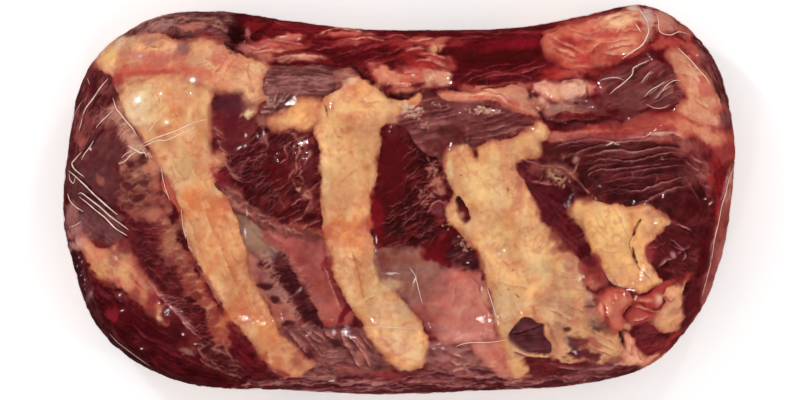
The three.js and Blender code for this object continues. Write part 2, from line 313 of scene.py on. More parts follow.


# A soft fold in painted light and shade: a painted highlight along its ridge fades away on one side and drops
# into a crease of painted shade, with a painted shadow fading beyond it, on the side that turn points to. How
# far a place lies across it comes from its distances to the path and to a shifted copy.
def fold(p, path, light, dark, wide=2.0, strength=0.7, turn=-60, seed=0, rise=0.5, wobble=1.0):
    chain = curve(pairs(path) if isinstance(path, str) else path, False, 6)
    at = p.around(chain, 6 * wide + 4)
    shift = wobble * 2 * (p.clumps(at, 9, seed + 3, 2) - 0.5)
    x, y = p.x[at] + shift, p.y[at] + shift
    reach = 1.5 * wide
    near, along, _ = distanceTo(chain, x, y)
    offset = reach * np.array((np.cos(np.radians(turn)), -np.sin(np.radians(turn))))
    other, _, _ = distanceTo(chain + offset, x, y)
    across = (near**2 - other**2) / (2 * reach) + reach / 2
    taper = np.sin(np.pi * np.clip(along, 0.01, 0.99)) ** 0.7 * (0.5 + p.clumps(at, 10, seed + 5, 2))
    size = wide * (0.35 + 0.65 * taper)
    ends = ease(2.6 * wide, 0.8 * wide, np.sqrt(np.maximum(near**2 - across**2, 0)))
    # painted highlight on the ridge, painted shade in the crease and a painted shadow beyond it
    ridge = np.where(across > 0, np.exp(-((across / (0.6 * size)) ** 2)), np.exp(across / (1.3 * size)))
    beyond = across - 1.0 * size
    away = 0.55 * np.exp(-((beyond / (0.7 * size)) ** 2)) + 0.45 * np.exp(-beyond / (2.2 * size))
    crease = np.where(beyond < 0, np.exp(-((beyond / (0.5 * size)) ** 2)), away)
    gaps = min(1, wobble) * 0.65 * ease(0.6, 0.25, p.clumps(at, 4.5, seed + 7, 2))
    share = strength * ends * np.clip(taper * 1.3, 0, 1) * (1 - gaps)
    p.blend(at, dark, share * np.clip(crease, 0, 1))
    p.blend(at, light, share * ridge * (1 - 0.5 * np.clip(crease, 0, 1)))
    p.relief[at] += rise * share * (ridge - 0.8 * crease)


# A spot where the wet film catches the light: a small torn white core and a faint halo
def glint(p, x, y, wide, high, turn=0, strength=0.85, halo=0.15):
    at = p.around([(x, y)], 4.5 * max(wide, high) + 1)
    dx, dy = p.x[at] - x, p.y[at] - y
    a = np.radians(turn)
    s, t = (dx * np.cos(a) - dy * np.sin(a)) / wide, (dx * np.sin(a) + dy * np.cos(a)) / high
    far = np.hypot(s, t)
    core = ease(1.25, 0.45, far + 0.9 * (p.clumps(at, 2.2, int(x) % 97, 2) - 0.5))
    p.blend(at, (255, 250, 244), strength * np.clip(core + halo * np.exp(-(far / 2.0) ** 2), 0, 1))
    p.relief[at] += 0.5 * np.exp(-far**2)


# Soft blots, one to a line: x y wide high turn, colour, strength, then where they differ its rise and
# its raggedness
def blots(p, text, ragged=0.5, seed=0):
    for number, line in enumerate(text.splitlines()):
        x, y, wide, high, turn, r, g, b, strength, *other = [float(n) for n in line.split()]
        rise, torn = (other + [0.0, ragged][len(other):])
        stain(p, x, y, wide, high, turn, (r, g, b), strength, torn, 7 * seed + number, rise)


# A cluster of small torn dabs over an ellipse
def dabs(p, x, y, wide, high, count, colour, size=1.6, strength=0.85, seed=0, rise=0.5, turn=0):
    draw = np.random.default_rng(3000 + seed)
    a = np.radians(turn)
    for number in range(count):
        s, t = draw.normal(0, 0.45, 2) * (wide, high)
        big = size * draw.uniform(0.5, 1.6)
        stain(p, x + s * np.cos(a) + t * np.sin(a), y - s * np.sin(a) + t * np.cos(a),
              big * draw.uniform(0.9, 1.8), big * draw.uniform(0.5, 1), draw.uniform(0, 180),
              np.array(colour) * draw.uniform(0.85, 1.1), strength, 0.8, seed + number, rise)


# Several folds alike, one to a path, each painted with its highlight and shade
def folds(p, paths, light, dark, wide=1.3, strength=0.7, turn=-70, rise=0.5, seed=0, wobble=1.0):
    draw = np.random.default_rng(4000 + seed)
    for number, path in enumerate(paths.split(';')):
        points = np.array(pairs(path))
        points += draw.normal(0, 0.6 * wobble, points.shape)
        fold(p, points, light, dark, wide * draw.uniform(0.6, 1.3), strength * draw.uniform(0.45, 1.1),
             turn, seed + number, rise, wobble)


# Lines of tissue, one to a path, each tapered to both ends
def thread(p, paths, colour, wide=1.0, strength=0.8, wobble=1.2, seed=0, rise=0.25):
    for path in paths.split(';'):
        chain = curve(pairs(path), False, 5)
        at = p.around(chain, 4 * wide + 2 * wobble)
        shift = wobble * 2 * (p.clumps(at, 7, seed + 3, 2) - 0.5)
        far, along, _ = distanceTo(chain, p.x[at] + shift, p.y[at] + shift)
        taper = np.sqrt(np.clip(np.sin(np.pi * np.clip(along, 0.02, 0.98)), 0, 1))
        mask = np.exp(-((far / (wide * (0.35 + 0.65 * taper))) ** 2))
        mask *= 0.5 + 0.5 * ease(0.3, 0.6, p.clumps(at, 5, seed + 5, 1))
        p.blend(at, colour, strength * mask)
        p.relief[at] += rise * mask


muscles = [
    # the lobe beyond the seam
    dict(edge="""226,10 240,12 290,20 360,27 440,29 515,26 580,15 640,3 700,30 726,80 736,120 690,112
645,112 586,122 545,117 533,101 526,87 490,86 453,86 421,90 395,97 372,82 353,66 330,63 279,62 250,56
232,46""", dark=(72, 6, 12), light=(138, 32, 34), angle=8, threads=0.25, seed=1, streak=(26, 3.4),
         cover=0.4, bloom=0.1),
    # left end
    dict(edge='58,140 70,100 86,62 95,60 109,73 119,80 116,99 117,108 106,126 98,133 80,156 68,160',
         dark=(74, 26, 28), light=(150, 84, 80), angle=62, threads=0.5, seed=3),
    dict(edge="""60,165 84,148 99,131 110,127 119,137 126,148 115,168 128,175 128,189 120,203 110,207 98,212
82,205 66,200 62,185""", dark=(84, 40, 42), light=(112, 62, 58), angle=45, threads=0.15, seed=5, ragged=3),
    dict(edge="""116,160 126,156 142,158 156,160 162,176 164,196 168,212 158,222 142,216 128,206 118,200
122,186""", dark=(96, 38, 36), light=(176, 112, 92), angle=38, threads=0.85, tone=(186, 132, 98), seed=6,
         cover=0.9),
    dict(edge='62,205 84,204 104,208 124,218 134,232 128,246 112,246 82,236 66,232', dark=(92, 52, 52),
         light=(132, 86, 78), angle=-30, threads=0.2, seed=7, ragged=3),
    dict(edge="""120,222 138,216 166,230 190,270 200,296 210,320 214,340 206,346 192,332 168,306 132,256
124,240""", dark=(72, 14, 20), light=(98, 28, 32), angle=-8, threads=0.75, tone=(156, 104, 98), seed=8,
         cover=0.75, streak=(13, 2.1)),
    dict(edge="""92,280 112,286 146,312 168,344 180,352 200,352 222,352 240,364 256,380 272,388 240,396
190,390 140,372 104,338 88,306""", dark=(58, 4, 10), light=(96, 16, 24), angle=-22, threads=0.3,
         tone=(140, 72, 76), seed=9, ragged=3),
    dict(edge='190,344 206,340 222,346 234,356 246,372 238,384 220,378 204,364', dark=(66, 18, 22),
         light=(110, 48, 46), angle=-28, threads=0.9, tone=(160, 112, 92), seed=10, cover=0.95,
         streak=(10, 2.2)),
    dict(edge='176,242 186,252 198,272 250,346 268,366 284,384 262,388 244,368 208,322 180,268',
         dark=(70, 8, 18), light=(112, 26, 34), angle=-52, threads=0.3, seed=11),
    # between the first two straps
    dict(edge="""214,100 222,93 232,92 242,96 249,108 252,118 262,112 276,116 290,110 304,112 312,124
318,160 322,226 325,240 312,238 280,230 262,218 240,206 236,196 226,186 216,170 214,152 210,140 209,120""",
         dark=(58, 4, 10), light=(108, 36, 36), angle=38, threads=0.8, tone=(164, 112, 104), seed=13,
         cover=0.6),
    dict(edge='209,108 216,96 230,92 244,98 256,126 240,150 226,156 216,150 211,134', dark=(82, 22, 26),
         light=(116, 50, 48), angle=20, threads=0.12, seed=14, soft=2.2),
    # under the seam
    dict(edge="""264,66 286,63 318,62 346,67 357,74 349,81 337,91 322,98 300,98 294,106 279,117 272,117
262,108 267,96 263,86 266,76""", dark=(96, 52, 48), light=(164, 112, 102), angle=3, threads=0.7,
         tone=(158, 122, 116), seed=15, cover=0.7, streak=(16, 2)),
    dict(edge="""385,132 393,117 404,101 414,94 430,91 446,94 490,98 506,102 522,110 534,118 530,126 500,138
486,142 476,149 466,144 452,147 444,154 440,168 428,168 414,172 400,158 390,146""", dark=(92, 44, 42),
         light=(158, 100, 94), angle=12, threads=0.45, tone=(152, 108, 106), seed=17, cover=0.5,
         streak=(16, 2.4)),
    dict(edge="""380,124 392,120 408,134 424,152 440,160 446,172 450,192 446,206 448,222 470,246 478,258
470,266 452,262 436,256 420,248 404,250 388,248 376,250 372,232 372,206 377,180 379,150""", dark=(52, 0, 4),
         light=(94, 24, 24), angle=26, threads=0.8, tone=(156, 98, 94), seed=18, cover=0.65,
         streak=(24, 2.7)),
    dict(edge='381,142 396,140 410,150 410,168 406,190 396,200 384,204 377,196 379,170', dark=(74, 4, 14),
         light=(92, 14, 22), angle=80, threads=0.05, seed=19, soft=3),
    # right half
    dict(edge="""540,150 556,144 586,136 630,139 666,131 684,137 698,146 710,160 716,176 716,200 714,240
704,290 690,320 676,344 664,338 668,330 684,318 684,296 688,280 664,282 660,270 648,256 652,240 671,222
664,212 648,205 630,206 604,200 580,198 570,190 556,182 546,170""", dark=(58, 14, 16), light=(96, 36, 36),
         angle=8, threads=0.1, seed=21, streak=(30, 3.2)),
    dict(edge="""515,166 530,160 548,166 566,178 574,192 570,206 574,222 588,250 584,262 570,252 544,222
534,200 526,186""", dark=(68, 12, 22), light=(102, 34, 42), angle=-40, threads=0.3, seed=22),
    dict(edge="""662,226 676,218 694,226 706,244 706,270 700,290 690,286 676,282 664,280 660,266 650,254
654,240""", dark=(66, 14, 16), light=(106, 40, 40), angle=-20, threads=0.35, tone=(170, 110, 108), seed=23,
         rise=0.6),
    dict(edge='672,196 690,190 704,196 712,214 712,240 700,236 674,214', dark=(66, 14, 16),
         light=(92, 34, 34), angle=40, threads=0.1, seed=24, soft=3),
    dict(edge="""600,74 612,70 628,64 652,55 672,64 682,74 688,86 684,98 676,105 646,111 628,110 610,112
600,100 597,86""", dark=(84, 30, 30), light=(140, 74, 70), angle=30, threads=0.35, tone=(176, 130, 126),
         seed=25, cover=0.5),
    dict(edge='694,40 708,42 722,64 732,92 737,130 728,128 722,110 704,72', dark=(74, 26, 28),
         light=(146, 90, 84), angle=-60, threads=0.15, seed=26),
]


# x y wide high turn, then strength and halo where they differ
glints = """584 276 1.2 1.2 0 0.9 0.35
283 35.5 3 1 5 0.6 0.2
298 37 3 1 5 0.6 0.2
264 45 3 1 5 0.6 0.2
413 74 1.6 1 0 0.8 0.35
609 143.5 4 0.7 25
628 118 1.2 0.8
698 54 1.6 1 -30
713 204 0.9 2.4 -25
637 298 1 2.6 -45
708 199 1.2 0.7
618 144 3 0.5 -10
138 101 3.4 2.8 20 1 0.35
193 80 2.6 2.2 0 1 0.35
167 122 2 1.8 0 1 0.35
139.5 55.6 2.6 1.3 10 1 0.35
115 257 1.2 2 0 0.7 0.35
239 149 3.4 0.9 35
245 146 1.8 0.8 60
264 132 0.9 4.5
247 212 0.8 3
247 232 0.7 5 4
377 240 0.8 3.6 4
376 250 0.9 1.6
258 136 0.7 2 20
331 383 3 0.8 5
246 136 0.8 1.6
482 289 0.8 2 10
499 253 1.4 1.4
505 250 0.8 1.2
438 346 1.8 0.8
443 351 1.2 1
434 352 1 0.8
415 281 0.7 6 -12
393 273 6 0.6
580 279 1 2.4 -30
467 262 1.4 0.8
140 351 1.5 1 0 0.85 0.2
182 335 1.2 0.9 0 0.85 0.2
194 345 1.2 0.9 0 0.85 0.2
88 148 1.3 1.1 0 0.85 0.2
89 294 0.8 2.2 -15 0.85 0.2
119 296 0.8 1.8 -25 0.85 0.2
121 312 1.6 0.6 0 0.85 0.2"""


# The whole skin as the photograph shows it: muscle, fat, then the details over them
def paintMeat(p):
    every = np.arange(p.x.size)
    dark, light = np.array((66, 12, 18)), np.array((112, 42, 42))
    mix = ease(0.25, 0.8, p.clumps(every, 16, 41, 4))[:, None]
    p.colour[:] = (dark + (light - dark) * mix) / 255
    p.relief[:] = 1.2 * (p.clumps(every, 9, 44) - 0.5)
    for muscle in muscles:
        layMuscle(p, **muscle)
    details(p)
    fat = ease(0.6, 0.8, p.colour[:, 0]) * ease(0.28, 0.42, p.colour[:, 1])
    for tone, size, seed in (((206, 128, 104), 16, 441), ((238, 200, 150), 12, 443),
                             ((188, 104, 78), 6, 445)):
        p.blend(every, tone, 0.32 * fat * ease(0.54, 0.8, p.clumps(every, size, seed, 4)))
    for angle, seed in ((-62, 431), (24, 433)):  # veins and fine wrinkles of the fat
        vein = p.threads(every, angle, 15, 4.4, seed, 8, 2.4)
        vein = vein * ease(0.53, 0.68, p.clumps(every, 13, seed + 1, 2))
        p.blend(every, (178, 94, 66), 0.34 * fat * vein)
        p.relief -= 0.5 * fat * vein
    mottle = 0.6 * p.clumps(every, 3.2, 47, 3) + 0.4 * p.clumps(every, 9, 48, 3) - 0.5
    lean = 1 - 0.62 * ease(0.45, 0.8, p.colour[:, 0])
    p.colour *= (1 + 0.34 * mottle * lean)[:, None]
    p.colour[:, 1:] += (0.05 * lean * (p.clumps(every, 5, 49, 3) - 0.5))[:, None]
    p.relief += 0.7 * mottle


# The hidden side, finished as the rest: a cap of fat with muscle showing where it is thin
def paintUnder(p):
    every = np.arange(p.x.size)
    body = p.clumps(every, 60, 211, 5)
    grain = p.grain(every, 10, 40, 5, 214)
    stained = ease(0.4, 0.7, p.clumps(every, 22, 216, 4))[:, None]
    fat = np.array((224, 172, 118)) + np.array((-24, -44, -24)) * stained
    bright = ease(0.25, 0.8, 0.5 * grain + 0.5 * p.clumps(every, 14, 218))[:, None]
    flesh = np.array((70, 14, 20)) + np.array((58, 40, 32)) * bright
    mask = ease(0.435, 0.475, body)[:, None]
    p.colour[:] = (flesh + (fat - flesh) * mask) / 255
    line = p.threads(every, 12, 34, 5, 221, 6, 1.5) * (1 - mask[:, 0])
    p.blend(every, (168, 108, 100), 0.6 * line)
    p.relief[:] = mask[:, 0] * 0.8 + 0.8 * (p.clumps(every, 10, 223) - 0.5)


# The walls below the widest line, by how far along (s) and down them (t) each place lies: bands, fat
# seams and threads that run along the pack, and fade out where its two ends meet
def paintWalls(p, wall, s, t):
    shown = ease(2, 14, t) * ease(0, 20, s) * ease(0, 20, s[-1] - s)
    bent = t + 16 * rough(s / 40, t / 30, 93, 3)
    p.colour[wall] *= (1 + shown * (rough(s / 45, bent / 8, 94, 3) - 0.5))[:, None]
    seam = rough(s / 60, bent / 14, 96, 4)
    p.blend(wall, (122, 48, 44), 0.8 * shown * ease(0.52, 0.58, seam))
    p.blend(wall, (206, 142, 104), 0.85 * shown * ease(0.56, 0.62, seam))
    line = (1 - np.abs(2 * hills(s / 22, bent / 3.2, 95) - 1)) ** 7
    line = line * ease(0.42, 0.6, rough(s / 28, t / 14, 97, 2))
    p.blend(wall, (172, 112, 104), 0.75 * shown * line)
    p.relief[wall] += shown * (0.5 * line + 0.8 * ease(0.52, 0.62, seam))


# Everything that lies on the muscle and the fat
def details(p):
    leftEnd(p)
    lip(p)
    firstStrap(p)
    secondStrap(p)
    thirdStrap(p)
    fourthStrap(p)
    rims(p)
    touches(p)


# Last blots over the borders of the parts, among them a painted sheen of the film on the fat at the top of
# the first strap and a painted streak where the film catches the light left of the second strap
def touches(p):
    blots(p, """392 73 19 9 -28 218 116 90 0.8 0.5
403 81 12 6 -28 206 98 80 0.6
408 66 14 4 -15 204 98 84 0.5
438 74 13 8 10 228 160 132 0.75 0.5
552 88 16 9 -15 236 166 138 0.75 0.4
578 84 11 10 -30 226 158 140 0.6 0.3
264 42 14 5 0 186 94 80 0.6
168 58 18 8 5 172 96 82 0.6
136 57 16 7 -10 174 102 88 0.6
584 59 12 6 -20 160 44 42 0.65
344 42 20 4 0 108 20 26 0.6
697 58 9 8 -50 184 94 78 0.6
120 251 8 10 -50 108 44 48 0.6
281 312 8 9 -60 136 68 56 0.5
297 366 10 7 -50 158 80 64 0.5
472 362 14 6 0 162 108 98 0.6
440 347 14 6 0 170 112 102 0.5
230 102 15 10 -8 82 38 43 0.9 -0.4
267 140 2 8 12 160 118 114 0.55
134 294 8 6 -40 126 54 48 0.65
582 344 10 7 -20 108 46 44 0.85 -0.4
536 104 8 7 -40 194 120 98 0.75
568 104 11 6 -10 198 136 116 0.7
153 216 7 9 -40 184 114 92 0.7
614 361 11 5 0 126 66 56 0.75
520 184 6 9 -30 154 72 60 0.6
442 360 11 6 0 168 110 102 0.6
105 88 7 6 30 126 72 70 0.6
168 263 6 8 -50 142 78 66 0.6
440 184 6 9 10 176 104 86 0.6 0.3
262 361 7 8 -50 120 42 38 0.65
219 158 8 9 0 206 130 98 0.8 0.4
232 96 12 5 -4 100 48 46 0.6
598 136 34 5 -3 134 72 68 0.55
655 138 26 5 4 174 106 92 0.6
699 150 8 11 -30 160 80 72 0.55
707 173 5 10 -15 168 94 86 0.5
592 283 8 9 -20 198 114 90 0.8 0.5
590 311 8 9 10 140 82 74 0.65
577 322 8 5 10 184 112 88 0.5
560 303 12 8 -20 182 128 100 0.5
606 329 7 7 0 110 56 50 0.7
555 331 7 6 -10 172 112 88 0.55
575 36 12 5 -20 224 112 90 0.6
617 23 12 6 8 244 188 146 0.6
137 119 12 10 -10 240 198 164 0.6
151 312 6 8 -40 112 40 42 0.65
104 121 6 10 30 158 104 92 0.5
106 298 9 4 -40 116 48 48 0.6
136 170 7 9 20 164 112 96 0.5
153 186 6 8 10 178 102 84 0.55
279 362 9 6 -50 182 98 66 0.6
556 236 7 10 -50 114 48 42 0.6
586 200 6 9 -40 120 60 52 0.55
663 214 7 6 -30 118 56 52 0.5
649 232 8 9 -40 186 114 86 0.55
440 150 6 8 0 80 26 28 0.55
392 120 6 6 0 206 142 110 0.55
120 88 5 8 10 138 68 58 0.5
361 358 8 6 0 188 112 98 0.6
186 268 5 9 -40 106 38 38 0.55
327 264 5 9 -15 134 52 46 0.6
216 241 9 13 -60 224 134 86 0.55
682 279 6 9 -25 82 24 28 0.7
73 246 6 8 -30 204 152 134 0.75
152 40 12 6 0 150 102 88 0.65
265 56 9 5 -10 202 122 102 0.6
568 40 10 5 -20 138 42 40 0.65
553 72 9 5 0 172 54 50 0.65
601 88 6 8 0 148 84 78 0.6
585 248 6 8 -30 72 12 18 0.6
87 296 4 8 -20 134 94 94 0.65
592 88 6 7 20 186 92 80 0.75 0.4
586 103 15 8 -6 108 68 64 0.85 0.3
556 107 14 5 -12 158 120 104 0.7 0.5
546 106 5 6 30 216 162 132 0.75 0.6
602 101 7 7 0 92 44 48 0.7
472 87 14 4 -4 190 106 86 0.65
456 104 9 5 0 104 54 52 0.6
520 87 10 6 20 206 126 102 0.65
376 88 9 6 0 226 152 112 0.65
264 41 9 6 0 190 94 82 0.6
248 312 7 7 -30 192 106 70 0.55
216 314 7 7 -50 110 36 36 0.6
168 311 7 10 -30 86 20 26 0.85
729 168 5 10 0 100 24 30 0.65
711 58 6 10 -50 100 40 40 0.6
536 168 8 7 0 148 88 76 0.6
152 168 8 7 0 214 140 110 0.65
709 280 5 9 -70 112 44 44 0.55
231 104 15 15 0 82 34 44 0.85 -0.3 0.25
230 123 12 12 10 102 26 38 0.7 0 0.3""", 0.5, 460)
    # tissue at the left edges of the second and third straps, and fibres over the dark hollow between them
    blots(p, """308 161 7 19 4 112 42 46 0.7 0.7
299 190 4 3 -20 208 152 118 0.8 0.5
304 197 6 3 -30 192 120 98 0.75 0.4
437 208 8 7 0 92 34 40 0.75 -0.3
436 181 7 5 20 186 116 98 0.7 0.4
271 254 8 8 -30 138 112 100 0.6
232 318 5 4 0 214 138 84 0.6""", 0.5, 490)
    thread(p, """301,144 297,156 296,168 293,180 296,189;290,141 285,148 287,156 280,163;
300,196 308,190 317,182;428,214 431,205 437,200 444,204;424,190 430,184 438,176;421,203 428,196 434,190;
292,206 299,200 306,199""", (200, 136, 114), 1.1, 0.75, seed=491)
    fibres(p, '284,250 296,270 308,290 318,308', 165, 70, (164, 98, 88), 9, 0.6, 0.6, 34, 492)
    fibres(p, '266,254 276,272 290,296', -20, 26, (170, 120, 112), 8, 0.6, 0.6, 34, 493)
    thread(p, '148,282 158,294 168,306 178,318 188,329 200,340', (190, 132, 126), 1.2, 0.75, seed=481)
    fibres(p, '158,294 172,310 186,326', -18, 34, (196, 142, 132), 15, 0.6, 0.6, 22, 482)
    folds(p, '538,112 552,118 570,121 590,120 612,117;562,98 576,101 590,100', (150, 96, 84), (36, 8, 14),
          1.5, 0.9, -80, 0.4, 483)
    thread(p, '212,100 218,93 228,90 238,93', (150, 92, 74), 1.4, 0.6, seed=462)
    folds(p, """301,138 296,146 294,156 299,163;300,164 293,171 292,180 298,186;
306,180 299,188 303,197 309,201;306,140 311,150 304,168""", (208, 146, 122), (66, 16, 22), 1.5, 0.9, -70,
          0.6, 463)
    folds(p, '200,192 210,226 224,262 240,296;184,208 192,232 204,262;206,214 218,240 230,262',
          (234, 172, 122), (172, 90, 56), 1.8, 0.6, -10, 0.3, 464)
    fibres(p, '262,256 276,286 308,336', 30, 90, (178, 116, 100), 9, 0.7, 0.6, 18, 465)


# The left end: rib fat in rings, dull muscle and dark hollows, pink fat below
def leftEnd(p):
    # dull muscle at the end, darker towards the corner
    blots(p, """90 190 28 26 20 88 50 50 0.7
100 158 18 12 40 92 44 46 0.6""", 0.4, 201)
    # brown fibrous band round the corner
    layMuscle(p, """112,44 126,28 150,16 175,8 205,6 236,10 238,42 228,44 214,36 204,38 180,38 163,31 148,32
124,38""", (70, 32, 32), (150, 100, 90), 12, 0.5, (196, 152, 128), seed=51, cover=0.6, streak=(22, 2),
              bloom=0.4)
    for path, light in (('128,33 142,26 160,20 180,17 204,17 226,22', (176, 128, 110)),
                        ('136,31 152,26 170,24 212,30', (170, 112, 98)),
                        ('122,36 136,27 154,18 176,13 200,12', (160, 116, 104)),
                        ('186,22 204,21 222,27 234,36', (188, 118, 100)),
                        ('196,30 212,32 226,40', (170, 96, 86))):
        fold(p, path, light, (48, 18, 22), 1.3, 0.7, -80, seed=203)
    strokes(p, p.around([(130, 14), (230, 40)], 0), 14, 60, (190, 142, 122), 13, 0.6, 0.5, 14, 204)
    blots(p, """188 25 15 4 8 188 116 98 0.75
158 26 20 8 14 178 138 130 0.6 0 0.7
207 32 15 5 -22 112 34 42 0.7""", 0.45, 52)
    # one mass of fat under it, joined to the first strap
    layFat(p, """94,60 110,42 124,36 160,32 174,37 190,40 206,37 222,40 250,54 264,59 269,66 264,78 262,88
265,98 257,105 258,112 248,116 243,106 236,97 224,92 212,92 206,100 180,106 150,108 124,100 114,88
112,76""", (216, 154, 112), (208, 128, 98), 60, 1.0, seed=54, stains=0.5, cracks=0.3, soft=2.2, ragged=1.0)
    blots(p, """108 54 13 10 40 216 168 108 0.8
124 41 14 7 20 184 148 106 0.75
148 56 20 6 8 204 120 100 0.7
182 50 10 10 50 118 80 84 0.75 0 0.7
230 60 20 12 -30 206 124 100 0.65
214 80 22 9 -10 206 120 92 0.6""", 0.45, 205)
    folds(p, '140,46 148,45 156,41 166,40 172,43;143,49 152,48 160,45', (214, 168, 130), (92, 56, 46), 1.3,
          1.06, 80, 0.5, 140)
    folds(p, """227,52 222,64 216,74 213,86;240,50 234,60 220,76;250,58 246,72 250,88 258,98;
206,62 214,70 224,72;236,76 242,84 252,88;232,64 240,70 248,70""", (226, 164, 126), (176, 84, 66), 1, 0.75,
          20, 0.5, 227)
    # red band along it and the light line above the strap
    for x, y, w, h, turn, colour in ((124, 72, 12, 8, 40, (176, 78, 64)),
                                     (146, 68, 22, 7, 8, (190, 88, 70)),
                                     (178, 70, 24, 7, -4, (194, 92, 72)),
                                     (206, 74, 18, 6, -14, (204, 110, 84)),
                                     (118, 80, 7, 7, 50, (160, 62, 54)),
                                     (152, 72, 30, 3, 4, (172, 76, 62))):
        stain(p, x, y, w, h, turn, colour, 0.8, 0.5, seed=int(x))
    # tan fibres that cross the dull muscle beside the first strap
    fibres(p, '108,106 116,116 132,140 140,150', -140, 70, (182, 134, 112), 16, 0.8, 0.5, 16, 217)
    fibres(p, '112,112 122,130 134,146 146,156', -130, 60, (202, 154, 128), 10, 0.7, 0.6, 20, 218)
    blots(p, """128 134 9 24 35 184 134 112 0.7
136 152 10 14 20 188 138 116 0.75
70 216 7 14 -5 164 108 100 0.7
114 116 6 14 30 160 104 92 0.6""", 0.7, 219)
    fibres(p, '120,118 142,150 154,160', -150, 60, (216, 172, 146), 12, 0.7, 0.55, 24, 251)
    fibres(p, '76,150 92,132 106,118', 50, 30, (140, 92, 84), 12, 0.7, 0.4, 14, 220)
    # painted shade in and beside the film's creases over the left end
    thread(p, """78,198 106,221 118,233 127,238;72,172 86,186 114,212;110,120 90,142 80,154;
109,82 92,102 86,112;84,193 98,203 124,226""", (44, 12, 16), 1.5, 0.75, 0.4, seed=419, rise=-0.2)
    # rings of tissue round dark hollows
    layMuscle(p, """118,160 130,154 144,156 158,164 165,182 166,200 170,216 160,224 144,218 130,210 120,200
116,182""", (92, 42, 38), (164, 110, 90), 30, 0.5, (196, 144, 112), seed=221, cover=0.6, ragged=4,
              streak=(9, 2.4))
    for x, y, w, h, turn in ((133, 163, 9, 4, 10), (138, 198, 9, 5, 10), (152, 189, 5, 8, 30),
                             (126, 186, 5, 4, 0), (149, 172, 5, 3, -30), (160, 206, 4, 7, 20),
                             (128, 206, 7, 3, 10), (143, 183, 4, 3, 40)):
        stain(p, x, y, w, h, turn, (74, 28, 28), 0.75, 0.8, seed=int(x + y), rise=-0.4)
        angle = np.radians(np.arange(30, 240, 34) + 5 * turn)
        ring = ' '.join('%.1f,%.1f' % (x + (w + 1.5) * np.cos(t), y - (h + 1.5) * np.sin(t)) for t in angle)
        thread(p, ring, (172, 112, 88), 1.3, 0.45, 3.4, seed=int(x), rise=0.3)
    blots(p, """150 166 9 9 0 208 142 114 0.8
155 185 6 9 0 180 108 88 0.65""", 0.8, 224)
    blots(p, """134 175 5 4 0 208 156 116 0.7 0.4
99 180 4 8 20 160 98 80 0.7
77 138 6 9 20 156 84 70 0.75""", 0.45, 7)
    # grey patch by the edge, dark muscle with fibres across it
    blots(p, """78 226 16 14 -20 126 82 80 0.7
104 228 18 13 -25 102 62 64 0.7""", 0.6, 223)
    fibres(p, '166,240 176,262 212,328', 186, 60, (166, 108, 92), 10, 0.6, 0.6, 14, 228)
    # mottled tan band along the first strap, frayed on both sides
    layFat(p, '156,212 164,214 180,242 198,280 222,324 230,344 224,350 214,338 198,304 168,252 160,234',
           (148, 84, 66), (112, 46, 42), -55, 0.3, seed=58, stains=0.7, cracks=0.6, paintedShadow=0.2, ragged=3.5,
           soft=3.5, clear=0.85)
    for angle, seed in ((30, 229), (200, 230)):
        fibres(p, '164,222 190,274 218,326', angle, 80, (182, 124, 94), 9, 0.8, 0.5, 30, seed)
    blots(p, """170 240 7 22 -25 170 112 84 0.6
168 196 6 20 -15 178 100 78 0.5""", 0.8, 231)
    # orange fat at the left edge, running down to the right in soft lumps
    layFat(p, """76,236 96,248 106,250 114,244 124,246 136,270 146,280 162,306 168,324 164,330 154,322
146,308 134,298 96,276 86,262""", (202, 132, 94), (170, 84, 70), -40, 0.8, seed=59, stains=0.6, soft=3,
           ragged=2)
    for x, y, w, h, turn, colour in ((82, 244, 7, 9, -30, (214, 142, 124)),
                                     (96, 258, 9, 9, -30, (214, 134, 92)),
                                     (99, 272, 10, 7, -30, (212, 152, 98)),
                                     (118, 254, 8, 9, 40, (214, 162, 116)),
                                     (122, 274, 14, 8, -30, (218, 164, 112)),
                                     (140, 290, 9, 9, -40, (204, 120, 92)),
                                     (152, 302, 6, 12, -30, (168, 64, 60)),
                                     (160, 317, 4, 11, -25, (230, 182, 150))):
        stain(p, x, y, w, h, turn, colour, 0.8, 0.5, seed=int(x), rise=0.5)
    folds(p, '128,268 132,280 144,292', (226, 170, 126), (142, 66, 54), 1.1, 0.87, -60, 0.5, 104)
    blots(p, """218 57 9 8 20 188 104 84 0.8
247 106 7 7 40 132 86 74 0.8
120 42 11 5 30 220 188 168 0.75
137 214 12 8 -20 152 84 72 0.7
118 107 8 9 40 198 146 118 0.7
88 121 7 10 30 124 68 62 0.7
168 57 15 6 6 184 106 88 0.8
153 201 9 8 0 162 90 74 0.6
171 315 8 12 -30 94 24 26 0.75
117 296 10 5 -30 126 58 52 0.7
153 299 7 10 -40 126 46 48 0.75
216 38 11 5 -10 132 60 54 0.75""", 0.7, 402)
    # wet dark red below it
    blots(p, """121 246 9 7 -30 108 48 46 0.75
72 232 7 11 -20 170 114 106 0.7""", 0.7, 225)
    blots(p, """111 316 8 8 -20 138 30 44 0.75
150 330 40 12 -25 62 6 12 0.7 0 0.6
186 352 9 5 -25 150 112 96 0.8 0 0.7""", 0.45, 18)
    folds(p, """108,282 116,284 124,288;104,298 112,300 122,306;126,306 136,318 166,338 186,346;
150,344 170,356 192,366 214,374;128,326 140,338 156,346""", (130, 60, 64), (48, 4, 10), 1.2, 0.75, -70, 0.5,
          108)
    # lattice of tan threads at the foot of the muscle
    thread(p, """196,344 216,352 228,356;198,352 208,344 218,340;204,360 212,350 222,344;
212,362 220,352 230,346;200,362 214,370 240,380;196,350 204,360 216,366;222,340 226,352 232,364""",
           (160, 104, 90), 1.3, 0.75, seed=4)
    for spot in ((207, 351, 6, 4, 20), (216, 358, 6, 3.5, 10), (222, 349, 4, 3, 0)):
        stain(p, *spot, (58, 18, 24), 0.8, seed=236)


